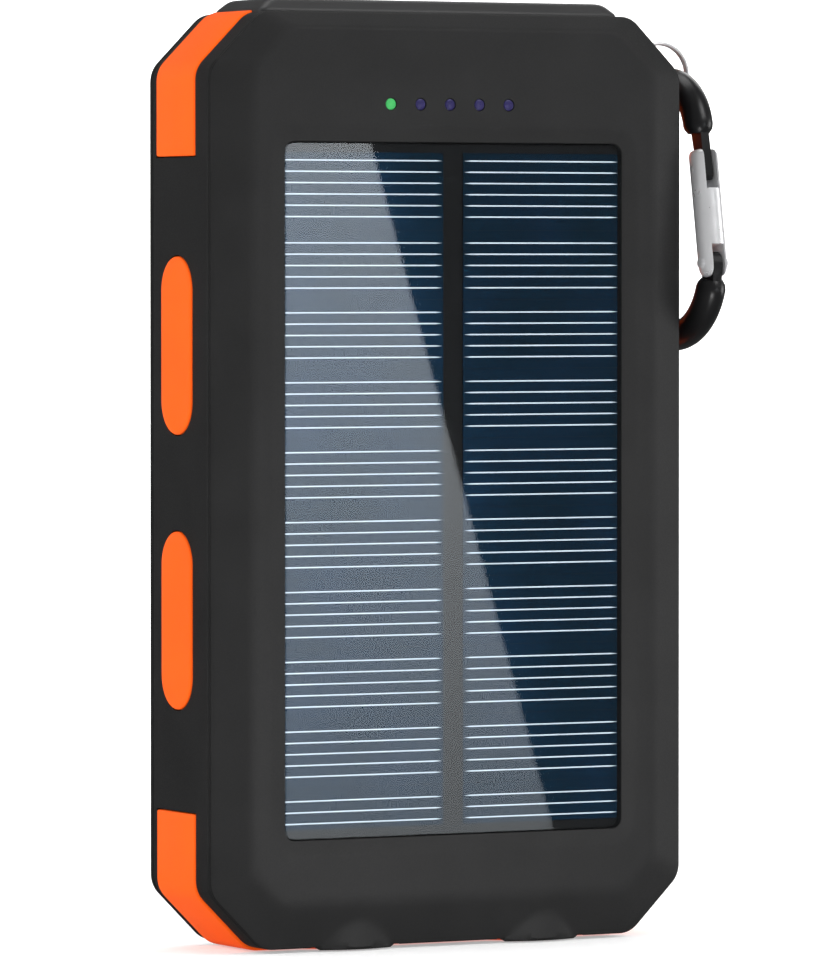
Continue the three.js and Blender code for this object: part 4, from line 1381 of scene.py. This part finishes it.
def build_compass():
    centre = (COMPASS.x, COMPASS.z)
    low, high = node_box("compass_card")
    rim = (high.x - low.x) / 2
    hub = [(1.4, CARD_FACE), (1.1, 9.72), (0.8, 10.0), (0.5, 10.1), (0, 10.1)]
    profile = [(0, 9), (1, 8.95), (1, 9.25), (rim - 0.1, 9.25)]
    profile += [(rim, 9.32), (rim, 9.58), (rim - 0.1, CARD_FACE)] + hub
    card = turned("compass_dial", profile, centre, along_y, sides=96)
    finish(card, dial_black, "compass_card", ["compass_card"], sharp=30)
    finish(dial_ticks(), dial_white, "compass_card")
    figures = [dial_text(str(degrees), 1.15, 5.15, degrees) for degrees in range(0, 360, 30) if degrees % 90]
    figures += [dial_text(letter, 2.0, 4.7, i * 90) for i, letter in enumerate("NESW")]
    finish(merge_meshes("dial_figures", figures), dial_white, "compass_card")
    for name, tip, material in (("needle_north", 3.5, needle_green), ("needle_south", -3.5, dial_white)):
        finish(dial_needle(name, tip), material, "compass_card")

    low, high = node_box("compass_bezel")
    inner, outer = 7.9, (high.x - low.x) / 2
    foot = 11.45
    corners = [(inner, foot), (outer, foot), (outer, 12.0), (outer - 0.35, high.y)]
    corners += [(8.5, high.y), (inner, 11.75), (inner, foot)]
    profile = rounded_profile(corners, [0.05, 0.12, 0.12, 0.15, 0.1], steps=4)[:-1]
    bezel = turned("compass_ring", profile, centre, along_y, sides=96)
    finish(bezel, case_black, "case", ["compass_bezel"], sharp=35)


# ---- Flashlights ----

def build_flashlights():
    cup = []
    for i in range(17):
        share = i / 16
        cup.append((LENS_RADIUS - 0.15 - 3.9 * share ** 1.7, 1.8 + 8.2 * share))
    cup += [(radius + 0.5, height) for radius, height in reversed(cup)]
    rim, inner, outer = LENS_RADIUS - 0.05, 1.65, 0.85
    dome = [(0, inner), (rim, inner), (rim, outer)]
    for i in range(1, 8):
        share = i / 7
        dome.append((rim * (1 - share), outer - 0.4 * math.sin(math.pi / 2 * share)))
    for name, side in (("left", -1), ("right", 1)):
        centre = (side * LIGHT_X, LIGHT_Y)
        reflector = turned(f"reflector_{name}_cup", cup, centre, along_z, sides=72)
        finish(reflector, mirror_metal, "case", [f"reflector_{name}"], sharp=40)
        lens = turned(f"lens_{name}_dome", dome, centre, along_z, sides=72)
        finish(lens, lens_plastic, "case", [f"flashlight_lens_{name}"], sharp=40)


# ---- Looks of the CAD nodes that stay ----

# Materials by name. The frame already has plain ones called battery_foil, case_black, plated_steel,
# soft_black and white_plastic, so those five names give a node the frame's material, not the one above.
NODE_LOOKS = {
    "case_seal": "soft_black",
    "indicator_light_guide": "lens_plastic",
    "indicator_board": "board_green",
    "main_board": "board_green",
    "protection_board": "board_green",
    "flashlight_board": "board_green",
    "usb_shell_left": "plated_steel",
    "usb_shell_right": "plated_steel",
    "micro_usb_shell": "plated_steel",
    "usb_tongue_left": "white_plastic",
    "usb_tongue_right": "white_plastic",
    "controller_chip": "chip_black",
    "power_switch": "chip_black",
    "switch_plunger": "white_plastic",
    "battery_cell_front": "battery_foil",
    "battery_cell_rear": "battery_foil",
    "battery_foam": "foam_grey",
    "flashlight_led_left": "phosphor",
    "flashlight_led_right": "phosphor",
    "compass_housing": "case_black",
    "compass_pivot": "plated_steel",
    "compass_crystal": "lens_plastic",
    "lanyard_pin": "plated_steel",
    "gate_spring": "plated_steel",
}


def dress_cad_nodes():
    looks = dict(NODE_LOOKS)
    for i in range(1, 5):
        looks[f"case_screw_{i}"] = "plated_steel"
    for i in range(1, 6):
        looks[f"status_led_{i}"] = "green_light" if i == 1 else "violet_light"
    for node, look in looks.items():
        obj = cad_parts[node]
        obj.data.materials.clear()
        obj.data.materials.append(bpy.data.materials[look])


camera_position = place_camera()
build_stage()
build_reflection_card(camera_position)
build_front_cover()
build_rear_cover()
build_mid_frame()
build_trims()
build_grips()
build_solar_panel()
build_light_windows()
build_port_cover()
build_strap()
build_power_button()
build_carabiner_body()
build_gate()
build_rivet()
build_split_ring()
build_compass()
build_flashlights()
dress_cad_nodes()
